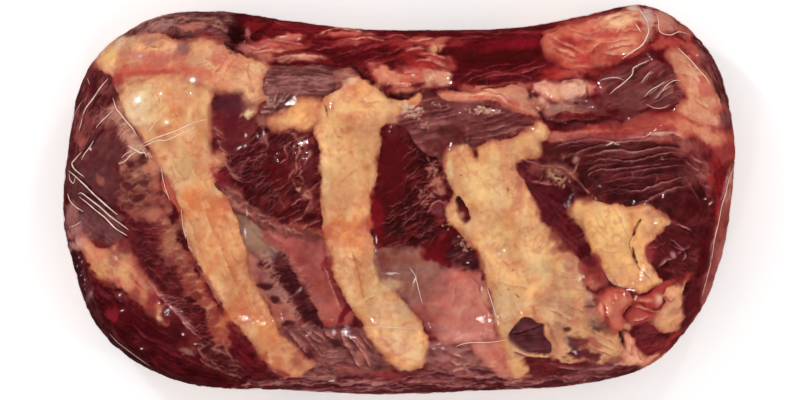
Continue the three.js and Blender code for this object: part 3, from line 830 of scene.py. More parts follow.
# The upper lobe over the seam: fat, folded purple muscle, brown muscle at the right
def lip(p):
    # the deep pit, painted near black as its shade, and the salmon folds beside it
    blots(p, """236 32 9 21 -5 36 4 8 0.95 -1.5
262 24 22 6 -14 116 18 26 0.7
310 26 34 4 -4 120 20 26 0.7
248 32 4 7 20 164 110 106 0.8 0.5
290 35 15 4 6 206 108 92 0.85 0.8
272 44 22 6 4 190 92 78 0.8 0.6
298 44 14 4 8 206 112 88 0.7 0.4
250 48 12 6 -20 196 124 110 0.8 0.6
268 52 16 4 8 214 136 104 0.7 0.5
296 56 26 3.4 2 222 170 140 0.85 0.5
345 32 27 3.2 2 212 108 90 0.85 0.7
356 39 24 3 6 196 96 80 0.8 0.6
345 50 42 8 -12 74 8 14 0.8 -0.5
404 42 20 6 -24 168 54 48 0.6 0.3
412 58 18 6 -20 150 40 40 0.6""", 0.5, 61)
    folds(p, """258,42 268,38 292,42 306,43;244,44 256,47 268,46 282,47;250,54 262,50 292,48;
270,57 286,54 304,54 322,57;282,61 300,58 320,60;318,33 332,29 348,29 366,31;346,38 372,36 384,38;
330,43 346,42 362,43""", (240, 166, 136), (104, 20, 24), 1.5, 0.94, -80, 0.5, 278)
    folds(p, """262,16 272,20 286,25;310,48 330,44 352,40;340,56 362,50 402,36;350,62 374,56 414,40;
362,64 386,60 418,48;330,53 350,50 372,46;376,36 394,34 414,35""", (190, 92, 84), (58, 6, 12), 0.9, 0.87,
          -70, 0.4, 262)
    blots(p, """424 72 9 8 0 216 124 102 0.8 0.6
344 71 10 7 10 182 118 98 0.75 0.4""", 0.7, 77)
    # lobe above the seam where the second strap ends
    blots(p, """380 72 14 10 -35 214 122 98 0.9 0.9
396 82 16 9 -25 216 128 104 0.9 0.9
412 76 14 9 -10 196 92 76 0.85 0.7
404 90 14 4 4 222 148 118 0.7
392 92 12 3 30 170 84 72 0.6""", 0.5, 62)
    folds(p, '388,70 398,72 410,70 420,72;396,88 408,86 418,82 428,80;402,76 412,80 424,80',
          (238, 168, 138), (160, 62, 54), 1.4, 0.81, -90, 0.5, 376)
    # streaked red and peach, and the cream lump
    blots(p, """424 38 16 5 -8 186 76 62 0.8 0.4
436 45 9 4.5 10 222 162 112 0.85 0.8
424 50 12 4 -20 176 60 54 0.7
442 58 14 5 -10 198 98 84 0.8 0.4
426 62 16 5 -5 170 54 50 0.8
448 66 10 5 10 186 92 80 0.7
440 78 14 8 8 226 176 146 0.9 1.0
428 86 10 4 20 196 122 106 0.7""", 0.6, 63)
    folds(p, """404,40 432,36 446,38;416,52 430,50 452,58;412,60 426,58 450,66;430,72 440,70 450,74;
418,46 428,42 438,44;404,50 416,46 428,46""", (240, 180, 148), (130, 34, 34), 1.3, 0.87, -80, 0.5, 404)
    fold(p, '434,43 437,47 436,51', (226, 170, 120), (70, 24, 22), 0.9, 0.8, 10, seed=64)
    # smooth dark hollow with its hair lines
    blots(p, """500 52 56 18 4 64 0 6 0.97 0 0.22
506 42 44 8 6 104 4 22 0.8
524 40 24 7 4 128 10 32 0.75""", 0.3, 27)
    folds(p, '452,31 510,30 540,30;456,35 480,35 500,34', (168, 84, 78), (90, 6, 16), 0.9, 0.75, -90, 0.2,
          452)
    folds(p, """457,80 474,70 490,67;462,83 476,75 492,71 506,71;474,80 492,75 510,73 524,75 536,81;
508,68 524,64 541,59;516,72 532,68 548,64;480,66 500,63 520,62""", (186, 104, 100), (44, 2, 6), 0.8, 0.94,
          -80, 0.3, 457, 0.6)
    # orange and salmon folds at the right end of the lip
    layFat(p, """542,34 556,25 572,20 622,10 642,8 648,24 648,40 638,50 624,58 606,64 590,70 572,68 548,54
541,44""", (204, 112, 86), (180, 70, 58), 20, 0.8, seed=71, stains=0.6, cracks=0.4, rim=(150, 46, 42),
           soft=3, paintedShadow=0.1, fringe=0.1)
    blots(p, """590 25 13 5 12 206 108 92 0.8 0.6
572 48 14 6 24 196 92 74 0.8 0.4
622 44 20 10 24 216 144 114 0.85 0.9
620 19 24 9 10 240 186 142 0.9 0.8
569 41 13 7 18 148 46 46 0.85
456 41 12 4 10 140 44 46 0.7
440 39 9 5 10 188 104 84 0.75
600 68 16 4 4 104 26 30 0.6
569 72 16 6 4 188 84 70 0.8 0.4
664 24 11 8 -20 210 132 108 0.8 0.4""", 0.5, 66)
    for path in """548,34 572,46 584,51;584,51 592,46 602,43 612,42;556,54 570,58 596,62;
566,26 578,30 590,31 602,28;560,36 584,38 596,36;604,52 614,54 628,52 640,46;
606,36 618,30 632,29 644,33;606,42 620,38 634,37;608,50 622,46 636,44;596,22 626,13 642,11;
600,28 632,21 646,22;554,46 564,52 576,54;606,32 618,27 630,24;576,66 592,66 608,62""".split(';'):
        x, y = pairs(path)[0]  # no two of them alike
        fold(p, path, (238, 172, 134), (128, 34, 34), 1.7, 0.5 + 0.07 * (x % 5), -75, x + y, 0.6, 2.6)
    # band of fat below the seam, in long curved fibres
    layFat(p, """438,92 452,90 470,88 478,84 492,84 518,82 526,86 536,104 543,114 534,115 520,110 505,102
490,98 455,98""", (218, 148, 118), (188, 92, 78), -8, 0.7, seed=75, paintedShadow=0.2, cracks=0.3, soft=2.2)
    folds(p, '446,92 480,89 496,91 508,97 520,106 534,113;458,95 478,94 494,95 518,108', (240, 182, 150),
          (164, 58, 52), 1.4, 1, -60, 0.6, 446)
    # lumps at its end: two peach ones, one with shell-like veins, and greyer ones under them
    blots(p, """540 88 10 7 -10 222 158 132 0.9 0.9
541 102 6 5 0 226 184 162 0.85 0.7
571 90 16 12 -10 226 166 142 0.95 1.2
586 88 9 9 60 222 142 120 0.9 0.6
556 110 12 5 14 204 150 128 0.7
576 109 26 7 2 160 104 90 0.85 0.3
600 112 10 5 -10 116 62 60 0.7""", 0.45, 68)
    folds(p, """560,84 568,80 580,81 586,88 580,97 570,103;562,90 570,86 578,88 580,93;566,100 572,97;
534,84 544,82 554,86;550,106 564,104 580,106 594,110;552,113 568,112 586,114""", (244, 200, 174),
          (134, 66, 60), 1, 0.87, -60, 0.5, 560)
    thread(p, '558,78 572,77 586,79 592,84;559,84 560,94 566,102 572,104;586,84 588,94 584,102',
           (70, 20, 24), 1.1, 0.8, 0.5, seed=69, rise=-0.4)
    # grained muscle under clear film: lighter in the middle, a dark wedge left of it
    blots(p, """630 100 17 18 -20 114 66 62 0.75
662 98 16 10 20 110 66 64 0.6
667 88 9 8 -30 172 104 94 0.7
648 90 10 6 20 138 84 76 0.6""", 0.4, 70)
    # painted highlights along the film's fine creases over it, with painted shade beside them
    folds(p, """609,94 624,79 633,73 641,62;606,80 616,77 626,76;642,84 649,76 656,72;
648,96 656,88 668,82 678,79;652,100 662,92 674,86;630,74 636,66 650,60;650,104 664,98 676,92""",
          (204, 160, 152), (70, 32, 36), 0.9, 0.94, -60, 0.4, 609, 0.5)
    # painted sheen of the film at the top corner, pink beside it, and pale peach blots at the seam's end
    blots(p, """649 14 8 11 -10 204 172 164 0.85
650 24 6 8 0 214 160 138 0.75
634 6 10 4 -12 222 198 180 0.8
650 32 8 8 20 196 140 120 0.7
664 16 12 8 -30 206 136 112 0.8
556 92 16 12 10 226 150 122 0.7
548 84 12 6 0 220 142 118 0.7""", 0.5, 76)
    # corner: mottled pink, red lumps, and the ridge of fat that runs down the right side
    blots(p, """670 20 15 9 -40 184 124 104 0.85 0.5
686 30 10 7 -40 190 112 94 0.7 0.5
662 41 10 7 20 182 84 74 0.8
676 42 14 7 -20 184 74 64 0.85 0.7
692 46 10 8 -45 190 90 74 0.8 0.5
662 54 12 6 20 82 12 20 0.85 -0.4""", 0.6, 71)
    layFat(p, """670,50 680,48 690,54 716,86 724,114 724,128 716,132 684,126 676,116 680,106 688,98 684,86
674,64""", (216, 146, 112), (186, 94, 78), -45, 1.0, seed=84, stains=0.5, soft=2.4, paintedShadow=0.2)
    blots(p, '722 108 7 10 -60 176 84 72 0.7', 0.5, 72)
    blots(p, '704 80 8 3.4 -50 176 84 70 0.75 -0.3', 0.8, 417)
    folds(p, '676,56 684,61 692,68;683,72 692,74 701,82;694,100 704,104 716,112;700,118 710,122 722,124',
          (242, 190, 154), (158, 70, 60), 1.6, 0.6, -120, 0.6, 418, 2.4)
    # red band between the seam and the grained muscle
    layFat(p, """586,123 600,124 622,122 645,113 664,110 680,114 700,124 722,128 736,134 737,160 728,166
716,150 704,140 668,130 630,137 606,138 590,134""", (184, 84, 70), (142, 46, 44), 4, 0.5, seed=85,
           stains=0.5, rim=(140, 40, 40), paintedShadow=0.2, soft=3, fringe=0.1)
    blots(p, """690 126 20 7 -14 212 132 98 0.75
712 136 18 8 -20 214 146 110 0.8
728 150 7 14 -60 138 52 50 0.8
560 134 34 4 3 164 92 76 0.8
556 137 13 5 0 182 110 92 0.75
575 131 34 3 4 198 112 92 0.7
684 134 12 7 -24 192 94 76 0.75
682 152 10 5 -10 138 66 60 0.7
713 184 5 14 -8 142 62 58 0.7
728 118 8 10 0 122 72 72 0.8""", 0.5, 73)
    folds(p, '556,131 580,130 610,131 640,127;600,136 624,138 646,134', (214, 120, 98), (120, 36, 38), 1.3,
          0.75, -90, 0.5, 556)
    # painted highlight along the top of the grained muscle, with painted shade under it
    fold(p, '598,142 612,142 648,135 664,132 678,134 688,139', (238, 184, 164), (90, 34, 38), 1.8, 0.85,
         -80, seed=74)
    # the brightest spot of that painted highlight, then darker tones round it
    blots(p, """662 134 9 2.4 4 242 184 162 0.9
646 138 9 3 6 184 96 84 0.7
664 140 12 5 0 180 90 78 0.7
630 152 20 8 0 112 58 54 0.6""", 0.45, 75)
    layMuscle(p, '716,160 728,168 734,186 732,204 720,250 712,262 716,230 718,200', (112, 12, 20),
              (156, 34, 34), -80, 0.15, seed=86)
    # long threads of the grained muscle, one above the other, and the marbled end
    folds(p, """552,149 565,142 580,138 595,137 610,140 630,140 654,136;
582,157 604,151 618,150 634,152 650,150 664,147 688,148;580,165 592,161 606,159 622,161 640,160 672,152
692,153;588,187 587,178 590,173 600,169 616,169 668,164;608,178 620,174 668,167 690,165;
596,187 602,183 626,178 642,177 656,175 672,174;618,188 630,191 641,190 652,186 690,177;
632,203 645,200 664,192 678,188 694,186;566,156 594,146 606,144 620,146""", (200, 142, 134), (48, 10, 14),
          1.0, 0.85, 85, 0.5, 11, 0.35)
    folds(p, """560,149 574,144 590,142 604,143;584,173 596,165 612,164 628,165;610,156 626,157 656,152;
640,196 652,191 668,186;600,192 612,190 620,186;656,161 672,159 690,159;614,185 628,184 642,183""",
          (158, 98, 94), (54, 16, 20), 0.7, 0.75, 85, 0.3, 12, 0.5)
    folds(p, '657,175 658,180 655,186;631,171 632,176 630,181', (178, 122, 118), (54, 16, 20), 0.8, 0.7,
          180, 0.3, 13, 0.8)
    blots(p, """697 172 12 20 -30 142 76 74 0.6 0.3
690 146 12 7 -20 176 104 92 0.7 0.3
714 172 4 20 -8 150 40 42 0.7""", 0.6, 78)
    folds(p, """687,150 694,158 704,164 712,172;686,160 694,168 704,174 708,182;690,168 698,170 708,170;
692,180 700,178 708,182 711,192;700,152 708,162 714,174;704,186 710,190 712,198""", (204, 142, 132),
          (104, 44, 44), 1.4, 0.75, -60, 0.5, 15, 1.6)
    folds(p, '680,167 700,196 709,214;684,166 694,176 704,192', (146, 104, 104), (54, 16, 20), 0.6, 0.8, 20,
          0.3, 14, 0.3)
    thread(p, '692,140 704,150 716,164 722,182', (92, 26, 32), 2.6, 0.7, seed=16, rise=-0.3)


# The strap of rib fat at the left and the muscle round it
def firstStrap(p):
    layFat(p, """118,98 122,88 146,77 164,75 198,82 208,88 212,96 210,112 212,150 217,160 214,172 224,188
246,218 253,262 276,324 284,338 296,344 304,354 314,366 304,376 290,381 280,378 266,364 234,322 192,254
178,212 166,192 160,172 144,144 124,116""", (222, 160, 112), (204, 128, 86), 100, 1.4, seed=90, stains=0.4,
           cracks=0.3, soft=2.2, ragged=1.2, lumps=0.25)
    # the bulb, with a painted broad sheen at its top, then tones and stains down the strap
    blots(p, """142 106 25 24 0 222 176 130 0.8 1 0.25
138 102 14 13 0 234 196 158 0.7 0 0.4
200 124 9 34 0 202 134 88 0.6
150 86 22 4 12 196 156 108 0.6
186 166 14 20 -12 206 160 108 0.6 0 0.5
206 206 26 16 -25 212 122 76 0.8
186 204 8 18 -20 216 112 66 0.7
230 200 12 16 -40 190 84 68 0.5 0 0.8
226 244 16 32 -22 224 158 104 0.7
236 308 9 32 -38 198 112 70 0.8
248 322 9 18 -38 192 106 72 0.7
208 272 6 24 -35 204 118 76 0.5
268 330 14 22 -30 212 134 82 0.6
286 352 14 14 -30 204 136 98 0.7
299 359 7 10 -40 166 90 70 0.8
282 371 13 5 -30 206 112 80 0.7
196 150 6 14 -8 198 120 80 0.6 0 0.7
202 232 5 18 -22 202 116 74 0.6 0 0.7
272 344 6 16 -34 206 120 78 0.6 0 0.7""", 0.45, 40)
    # arcs on the bulb, long folds down the strap
    folds(p, '146,96 152,94 158,97 160,104 156,111;152,114 160,112 166,106', (238, 202, 158),
          (176, 124, 84), 1, 0.75, 150, 0.5, 146)
    folds(p, '172,158 176,170 183,176 182,189;196,166 198,176 204,186', (230, 182, 130), (166, 104, 68),
          1.2, 0.62, 20, 0.6, 172, 2.6)
    folds(p, """186,190 190,204 206,222;228,224 232,240 240,256;222,264 232,284 246,304;
238,280 248,302 258,322;244,262 250,284 260,304""", (234, 180, 128), (190, 116, 74), 1.5, 0.45, 30, 0.5,
          186, 2.2)
    # red lip and thin light line along the strap's left edge
    layFat(p, '163,178 168,182 180,207 183,213 177,212 163,190', (190, 84, 66), (150, 46, 46), -60, 0.4,
           seed=91, paintedShadow=0.5, soft=1.2)
    folds(p, '163,172 161,184 166,196 181,213;181,216 187,244 193,258;194,262 216,300 230,318',
          (236, 182, 156), (84, 16, 24), 1, 1, 200, 0.5, 163)
    # red notch and wisps on the right edge
    blots(p, '213 169 8 9 0 208 132 94 0.8 0 0.7', 0.8, 245)
    fibres(p, '214,168 220,184 246,214', 20, 50, (176, 104, 84), 9, 0.7, 0.6, 30, 247)
    fibres(p, '214,166 218,180 230,196 244,210', 190, 30, (150, 50, 50), 8, 0.8, 0.5, 30, 248)
    # pale broken edge with dark holes right of the strap
    layFat(p, """250,252 262,254 274,262 282,276 292,290 298,304 294,314 306,330 320,348 332,362 326,370
314,362 302,348 290,336 258,284 252,266""", (180, 122, 104), (146, 80, 72), -45, 0.4, seed=92, stains=0.7,
           cracks=0.8, ragged=3.5, clear=0.85, soft=2.5)
    for spot in ((266, 264, 8, 4, -10), (267, 286, 9, 3.5, 0), (276, 300, 8, 4, -25), (289, 323, 6, 4, -10),
                 (306, 348, 4, 7, -40), (300, 340, 3, 7, -35), (283, 276, 4, 2.5, 20),
                 (290, 300, 3, 5, -30)):
        stain(p, *spot, (60, 20, 24), 0.9, 0.7, seed=54, rise=-0.5)


# The strap at the middle and the muscle on both sides
def secondStrap(p):
    # what lies left of it: grey membrane, pink panel, rough dark band and the fibrous corner
    layFat(p, '237,200 256,212 280,228 290,238 286,250 266,262 256,256 248,244 242,228 236,214',
           (146, 120, 100), (140, 90, 80), -35, 0.3, seed=93, paintedShadow=0.2, cracks=0.6, rim=(120, 70, 62))
    layFat(p, """272,226 290,230 306,236 322,240 328,252 332,282 340,300 352,318 346,326 328,328 318,314
296,278 274,246 266,236""", (164, 84, 74), (146, 66, 60), -50, 0.3, seed=94, stains=0.5, cracks=0.1,
           paintedShadow=0.1, rim=(150, 60, 58), ragged=3, soft=4)
    layMuscle(p, """282,330 300,326 344,329 362,330 374,344 384,358 392,370 376,380 326,380 306,378 314,366
306,352 294,342""", (104, 58, 54), (160, 104, 94), -28, 0.3, (200, 140, 128), seed=98, cover=0.9,
              streak=(12, 2))
    blots(p, """326 324 14 4 0 158 60 52 0.7
346 312 4 13 -30 88 14 26 0.85
326 262 4 8 -20 96 20 30 0.7""", 0.7, 84)
    layMuscle(p, '271,254 281,254 292,262 300,275 319,318 321,327 311,329 301,319 288,294 271,270',
              (52, 10, 16), (86, 40, 42), 30, 0.2, (150, 108, 96), seed=96, streak=(7, 1.8), ragged=3)
    fibres(p, '281,254 293,263 302,276 316,306 321,322', 30, 60, (174, 112, 98), 7, 0.6, 0.7, 26, 321)
    fibres(p, '268,252 271,268 280,284 290,298 300,318', 200, 60, (162, 124, 110), 7, 0.6, 0.7, 34, 322)
    folds(p, """292,296 298,291 303,284;294,298 300,294 303,288;262,258 270,256 276,260;
256,262 264,268 274,268;268,248 276,252 280,258""", (206, 176, 162), (64, 30, 32), 1.1, 0.85, -60, 0.5, 324,
          1.2)
    folds(p, '326,272 330,284 342,314;322,262 326,274 329,284', (224, 156, 136), (92, 22, 30), 0.9, 0.85,
          10, 0.5, 325, 0.6)
    # the fibrous corner: pink streaks that fan out down to the right, dark hollows between them
    folds(p, """345,332 361,356 369,371;350,334 366,354 372,362;338,334 356,362 362,372;
356,334 364,342 372,350;298,330 307,341 322,358;303,328 313,338 322,346;310,330 320,338 326,344;
286,332 296,342 312,362;322,330 330,336 336,342""", (222, 150, 136), (84, 34, 36), 1.6, 0.85, -120, 0.7,
          327, 1.6)
    folds(p, """318,356 330,352 344,354;322,362 334,358 348,360;326,368 340,363 352,366;
330,348 342,346 352,350;330,374 344,370 358,372""", (178, 128, 116), (70, 30, 32), 0.9, 0.8, -80, 0.4, 328,
          1.4)
    blots(p, """335 346 7 5 -20 58 28 26 0.85 -0.5
309 358 4 6 20 70 26 28 0.8 -0.4""", 0.7, 85)
    # muscle left of the strap: smooth crimson in the middle,
    # a column of nodules, threads that rise to the right
    blots(p, """277 168 12 26 5 78 4 12 0.85
232 130 10 24 4 88 30 36 0.8
262 121 9 7 0 180 122 100 0.7 0.5
264 137 5 7 0 138 86 78 0.6 0.3""", 0.45, 58)
    folds(p, """281,136 290,134 298,139 303,148 300,158;300,154 304,164 300,174 303,184 299,194;
303,186 307,196 302,206 306,214""", (190, 130, 112), (66, 16, 20), 2.6, 0.94, 200, 0.8, 281, 3.2)
    fibres(p, '290,226 304,230 318,236', 30, 70, (166, 84, 70), 9, 0.8, 0.6, 34, 401)
    fibres(p, '302,140 300,160 303,180 304,204', 200, 44, (186, 130, 114), 9, 0.5, 0.55, 34, 302)
    folds(p, """272,198 280,190 300,176;268,206 282,198 298,188;282,220 296,212 308,206;
266,190 276,184 288,176;290,226 302,218 314,212;240,184 252,178 262,170;250,192 260,184 268,178;
258,200 266,192 274,186;300,232 310,224 318,218;286,156 292,150 300,146;254,152 262,148 270,140;
246,164 258,158 268,150""", (188, 124, 110), (48, 4, 8), 0.75, 0.75, -70, 0.4, 304, 1.8)
    fibres(p, '214,128 226,164 236,180', -30, 60, (176, 116, 102), 14, 0.5, 0.6, 14, 305)
    strokes(p, p.around([(230, 128), (314, 226)], 0), 34, 30, (168, 106, 96), 13, 0.45, 0.45, 14, 306)
    # red-brown streaks above the pink panel, grey membrane with bright wrinkles
    layMuscle(p, '216,186 228,184 254,208 282,226 318,234 322,240 306,240 262,228 238,210 226,198',
              (110, 54, 50), (164, 104, 90), -32, 0.6, (186, 132, 112), seed=100, ragged=3, cover=0.8)
    fibres(p, '226,196 240,206 274,226 296,232', -30, 60, (182, 122, 104), 10, 0.6, 0.6, 20, 307)
    folds(p, '250,226 262,240 272,250;258,222 270,236 284,246', (196, 160, 142), (104, 60, 54), 1.2, 0.7,
          -60, 0.5, 310)
    blots(p, '222 178 7 7 0 118 26 34 0.8', 0.7, 59)
    folds(p, '268,118 273,108 286,92;276,118 288,106 303,84;276,104 284,100 290,92;268,108 276,100 282,90',
          (208, 176, 160), (76, 36, 36), 1.0, 0.8, -50, 0.5, 311, 1.6)
    dabs(p, 248, 114, 6, 4, 9, (222, 184, 138), 2.4, 0.85, 312)
    dabs(p, 268, 104, 7, 9, 16, (190, 148, 126), 1.5, 0.7, 313)
    # the strap itself, its cross piece and the lobe left of it
    layFat(p, '270,126 270,117 280,114 298,99 310,98 320,100 323,108 328,118 308,131 292,128 280,130',
           (226, 166, 112), (208, 136, 92), 15, 1.6, seed=102, stains=0.35, paintedShadow=0.6)
    layFat(p, """314,112 322,98 338,90 350,80 358,74 370,80 390,95 404,97 420,92 418,100 406,106 398,114
382,130 382,146 373,204 372,220 370,232 374,244 382,258 385,276 394,290 404,298 423,320 431,350 431,362
424,369 412,372 398,370 386,361 366,334 346,300 328,262 321,226 321,204 319,184 319,158 316,142 312,130
318,120""", (228, 168, 116), (208, 134, 94), 92, 1.6, seed=103, stains=0.4, cracks=0.25)
    blots(p, """312 112 9 9 0 214 134 94 0.7
282 263 8 8 0 108 58 54 0.6
350 118 12 5 -10 208 128 92 0.7 -0.3
350 80 9 6 30 230 190 150 0.75 0.5
338 150 12 26 2 230 176 122 0.6
352 176 11 32 2 222 164 116 0.6
350 242 20 6 0 208 114 78 0.6
372 160 5 26 4 216 158 112 0.6
347 228 27 12 5 206 116 76 0.85
328 233 8 9 0 180 90 64 0.8
366 226 8 13 -14 184 82 64 0.7
378 212 6 24 8 112 10 22 0.8
384 312 16 14 -30 226 170 130 0.7
402 308 12 7 0 184 152 122 0.6
402 346 22 14 -20 236 178 140 0.8""", 0.45, 315)
    folds(p, '352,128 357,176 356,200;364,126 366,150 367,176', (238, 192, 142), (188, 126, 84), 1.3, 0.34,
          10, 0.4, 316, 2.4)
    folds(p, '326,240 334,248 346,250 358,244;346,256 350,268 354,280', (240, 190, 144), (194, 128, 90),
          1.4, 0.36, 20, 0.5, 317, 2.4)
    folds(p, '356,98 368,100 382,98', (240, 186, 138), (190, 112, 76), 1.3, 0.6, -60, 0.5, 318)
    for path, wide in (('353,254 358,268 363,298', 1.5), ('352,256 360,262', 1.1)):
        thread(p, path, (150, 84, 62), wide, 0.6, seed=19, rise=-0.4)
    fold(p, '363,301 370,298 376,295', (244, 208, 174), (160, 96, 70), 1.1, 0.8, -80, seed=20)
    fold(p, '321,104 324,110 327,118', (226, 160, 116), (84, 34, 26), 1.5, 0.95, 20, seed=21, rise=0.8)


# The broad strap, its hollows and the patch of fat right of it
def thirdStrap(p):
    # grey membrane, pink panel and torn tissue left of the strap
    layFat(p, '376,250 390,248 424,250 440,258 446,270 442,286 428,298 418,308 408,300 386,282 378,268',
           (146, 98, 84), (130, 78, 70), 0, 0.2, seed=110, stains=0.6, cracks=0.2, paintedShadow=0.1,
           rim=(130, 90, 84), ragged=3, soft=3)
    layFat(p, """420,304 430,292 440,284 450,268 464,266 476,268 484,284 492,316 497,330 500,342 482,346
460,348 442,348 434,334 427,318""", (190, 116, 102), (174, 92, 82), -5, 0.3, seed=111, stains=0.4,
           cracks=0.05, paintedShadow=0.1, rim=(166, 84, 76), ragged=3, soft=4.5)
    blots(p, """390 286 13 8 0 206 168 124 0.7
400 276 8 5 0 158 112 92 0.6
464 276 14 7 0 184 86 70 0.6
462 302 24 12 0 192 116 102 0.6
469 337 30 6 2 208 136 124 0.8""", 0.6, 86)
    folds(p, """474,292 489,314 497,322;470,278 478,286 480,296;482,268 486,280 490,290;
490,300 494,314 498,330""", (226, 160, 144), (96, 30, 34), 1.3, 0.85, 30, 0.6, 329, 1.6)
    folds(p, '455,284 454,294 452,305', (222, 164, 148), (140, 80, 74), 0.6, 0.7, 0, 0.3, 330, 0.4)
    # streaks under the panel, the salmon wedge and the foot strip
    layMuscle(p, '430,346 446,348 478,346 490,360 498,380 480,384 450,382 432,376 426,366', (110, 62, 58),
              (172, 112, 104), -15, 0.2, (206, 156, 142), seed=115, cover=0.8, streak=(12, 2.2))
    layFat(p, '472,348 482,344 498,342 512,341 520,352 526,366 524,382 508,384 488,366 478,358',
           (202, 124, 104), (180, 88, 76), -50, 0.5, seed=116, paintedShadow=0.2, cracks=0.2, rim=(190, 100, 86))
    blots(p, """456 352 9 3 0 168 116 106 0.6
440 366 12 4 20 118 48 52 0.6
482 350 9 5 -10 214 140 118 0.7
500 360 7 12 30 184 92 78 0.6""", 0.6, 88)
    folds(p, '448,362 458,368 470,366;450,374 460,372 470,376;446,354 456,358 464,362', (234, 178, 152),
          (126, 56, 54), 1.2, 0.8, -60, 0.5, 331, 1.2)
    # torn threads and nodules along the strap's left edge
    blots(p, """394 170 15 32 4 82 6 14 0.85 0 0.35
396 132 16 10 10 98 30 34 0.7 0 0.4
379 222 6 24 0 112 14 22 0.6 0 0.9
441 192 6 5 0 180 118 100 0.8 0.5
436 208 5 8 25 150 88 86 0.75 0.5
446 206 3.5 6 10 168 104 90 0.75 0.4
442 150 9 8 40 92 34 34 0.8""", 0.8, 331)
    dabs(p, 434, 176, 10, 18, 46, (196, 140, 116), 1.6, 0.6, 335)
    dabs(p, 424, 194, 12, 14, 22, (176, 120, 106), 1.2, 0.7, 336)
    folds(p, """384,220 412,204 424,198;388,230 402,220 416,214 430,212;394,238 406,230 420,224 434,220;
404,244 416,236 444,224;382,196 394,186 404,176;400,172 410,164 420,154;404,182 414,174 424,166;
398,160 408,152 418,144;408,190 416,182 424,176;412,212 424,204 434,196;380,228 390,222 400,218;
420,244 430,238 440,232""", (184, 118, 104), (42, 0, 4), 0.7, 0.7, -70, 0.4, 338, 2.0)
    strokes(p, p.around([(382, 160), (444, 246)], 0), 30, 40, (166, 106, 96), 14, 0.45, 0.45, 16, 339)
    layMuscle(p, '424,254 442,238 450,234 454,244 451,256 449,265 440,265', (88, 2, 12), (120, 12, 22), -40,
              0.1, seed=118, rise=0.3, ragged=3)
    blots(p, '442 236 7 5 40 142 44 44 0.5', 0.7, 340)
    layMuscle(p, '450,240 458,234 466,240 480,262 474,270 462,266 450,262', (56, 14, 20), (112, 62, 58), 20,
              0.6, (170, 124, 112), seed=119, streak=(6, 1.8), ragged=3.5)
    dabs(p, 464, 246, 12, 8, 26, (190, 140, 120), 1.1, 0.75, 341, turn=-40)
    dabs(p, 448, 222, 4, 10, 14, (206, 158, 126), 1.2, 0.7, 342)
    # muscle above the strap: cream splashes, long folds that bend up to the right
    dabs(p, 414, 112, 10, 8, 46, (212, 172, 146), 1.3, 0.7, 343)
    dabs(p, 406, 106, 7, 4, 14, (216, 178, 144), 1.8, 0.8, 344)
    dabs(p, 481, 109, 17, 4.5, 58, (212, 172, 146), 1.3, 0.7, 345, turn=-8)
    dabs(p, 440, 104, 10, 5, 12, (176, 136, 124), 1.0, 0.7, 346)
    dabs(p, 424, 124, 8, 6, 16, (182, 136, 120), 1.0, 0.7, 347)
    folds(p, """478,124 494,122 520,110;474,132 492,129 510,124 526,118;468,139 506,132 524,126;
430,112 446,108 462,104;432,120 448,117 464,112;484,118 498,114 508,110""", (160, 112, 108), (62, 20, 24),
          1.3, 0.7, -80, 0.5, 348)
    # the strap
    layFat(p, """444,156 448,150 466,144 474,156 478,148 486,144 518,135 536,121 545,122 549,130 548,138
541,144 541,153 536,158 527,159 516,164 517,172 524,181 540,212 545,224 568,248 582,262 586,274 584,290
588,302 610,328 622,338 626,352 622,362 604,366 590,361 572,366 556,364 540,376 524,382 512,380 508,366
500,338 488,284 477,254 470,246 464,236 455,230 448,222 446,211 451,191 445,171""", (228, 168, 116),
           (212, 144, 102), 95, 1.6, seed=121, stains=0.35, cracks=0.2)
    blots(p, """482 184 20 22 0 242 190 132 0.85
470 170 12 10 0 238 182 124 0.7
508 172 10 26 -5 216 148 110 0.7
450 168 4 16 0 232 196 144 0.8
500 240 14 18 -10 228 176 120 0.6
506 306 18 20 -20 208 164 124 0.75
532 278 9 6 0 222 144 98 0.7
511 268 7 5 0 216 144 98 0.6
558 247 5 10 -35 142 86 74 0.7
392 118 10 6 0 202 142 108 0.8
484 297 5 12 -14 214 158 124 0.7
476 154 2.4 7 0 96 30 28 0.9 -0.9
519 200 8 12 -12 198 122 92 0.75
456 134 13 8 -20 80 28 28 0.75
567 247 8 9 -30 104 42 40 0.75""", 0.45, 350)
    layMuscle(p, '455,200 459,198 470,216 467,223 461,221 457,212', (60, 12, 16), (98, 36, 34), -60, 0.2,
              seed=122, ragged=0.8, soft=1, rise=-0.8)
    blots(p, '460 216 3 3.4 0 180 132 100 0.75 0.4', 0.45, 100)
    thread(p, '464,203 469,212 471,220 467,225', (214, 134, 104), 1.2, 0.7, 0.4, seed=351)
    folds(p, '514,198 516,216 513,256;489,146 500,150 512,150;480,246 486,262 494,276', (236, 178, 140),
          (180, 114, 84), 1.3, 0.42, 10, 0.4, 352, 2.4)
    folds(p, '500,260 512,262 522,258;500,282 516,284 530,290', (236, 186, 136), (184, 122, 82), 1.1, 0.6,
          -70, 0.4, 353)
    dabs(p, 520, 150, 16, 7, 18, (196, 126, 92), 1.0, 0.6, 354, rise=-0.2)
    dabs(p, 512, 190, 5, 14, 14, (190, 120, 88), 0.9, 0.6, 355, rise=-0.2)
    for spot in ((509, 289, 1.5, 1.1, -30), (518, 296, 3.4, 1.0, -45), (461, 175, 2.2, 0.8, 10),
                 (482, 212, 1.2, 1, 0), (514, 270, 1.5, 1, 0), (508, 190, 1.2, 3, 0)):
        stain(p, *spot, (116, 72, 50), 0.8, 0.2, seed=101)
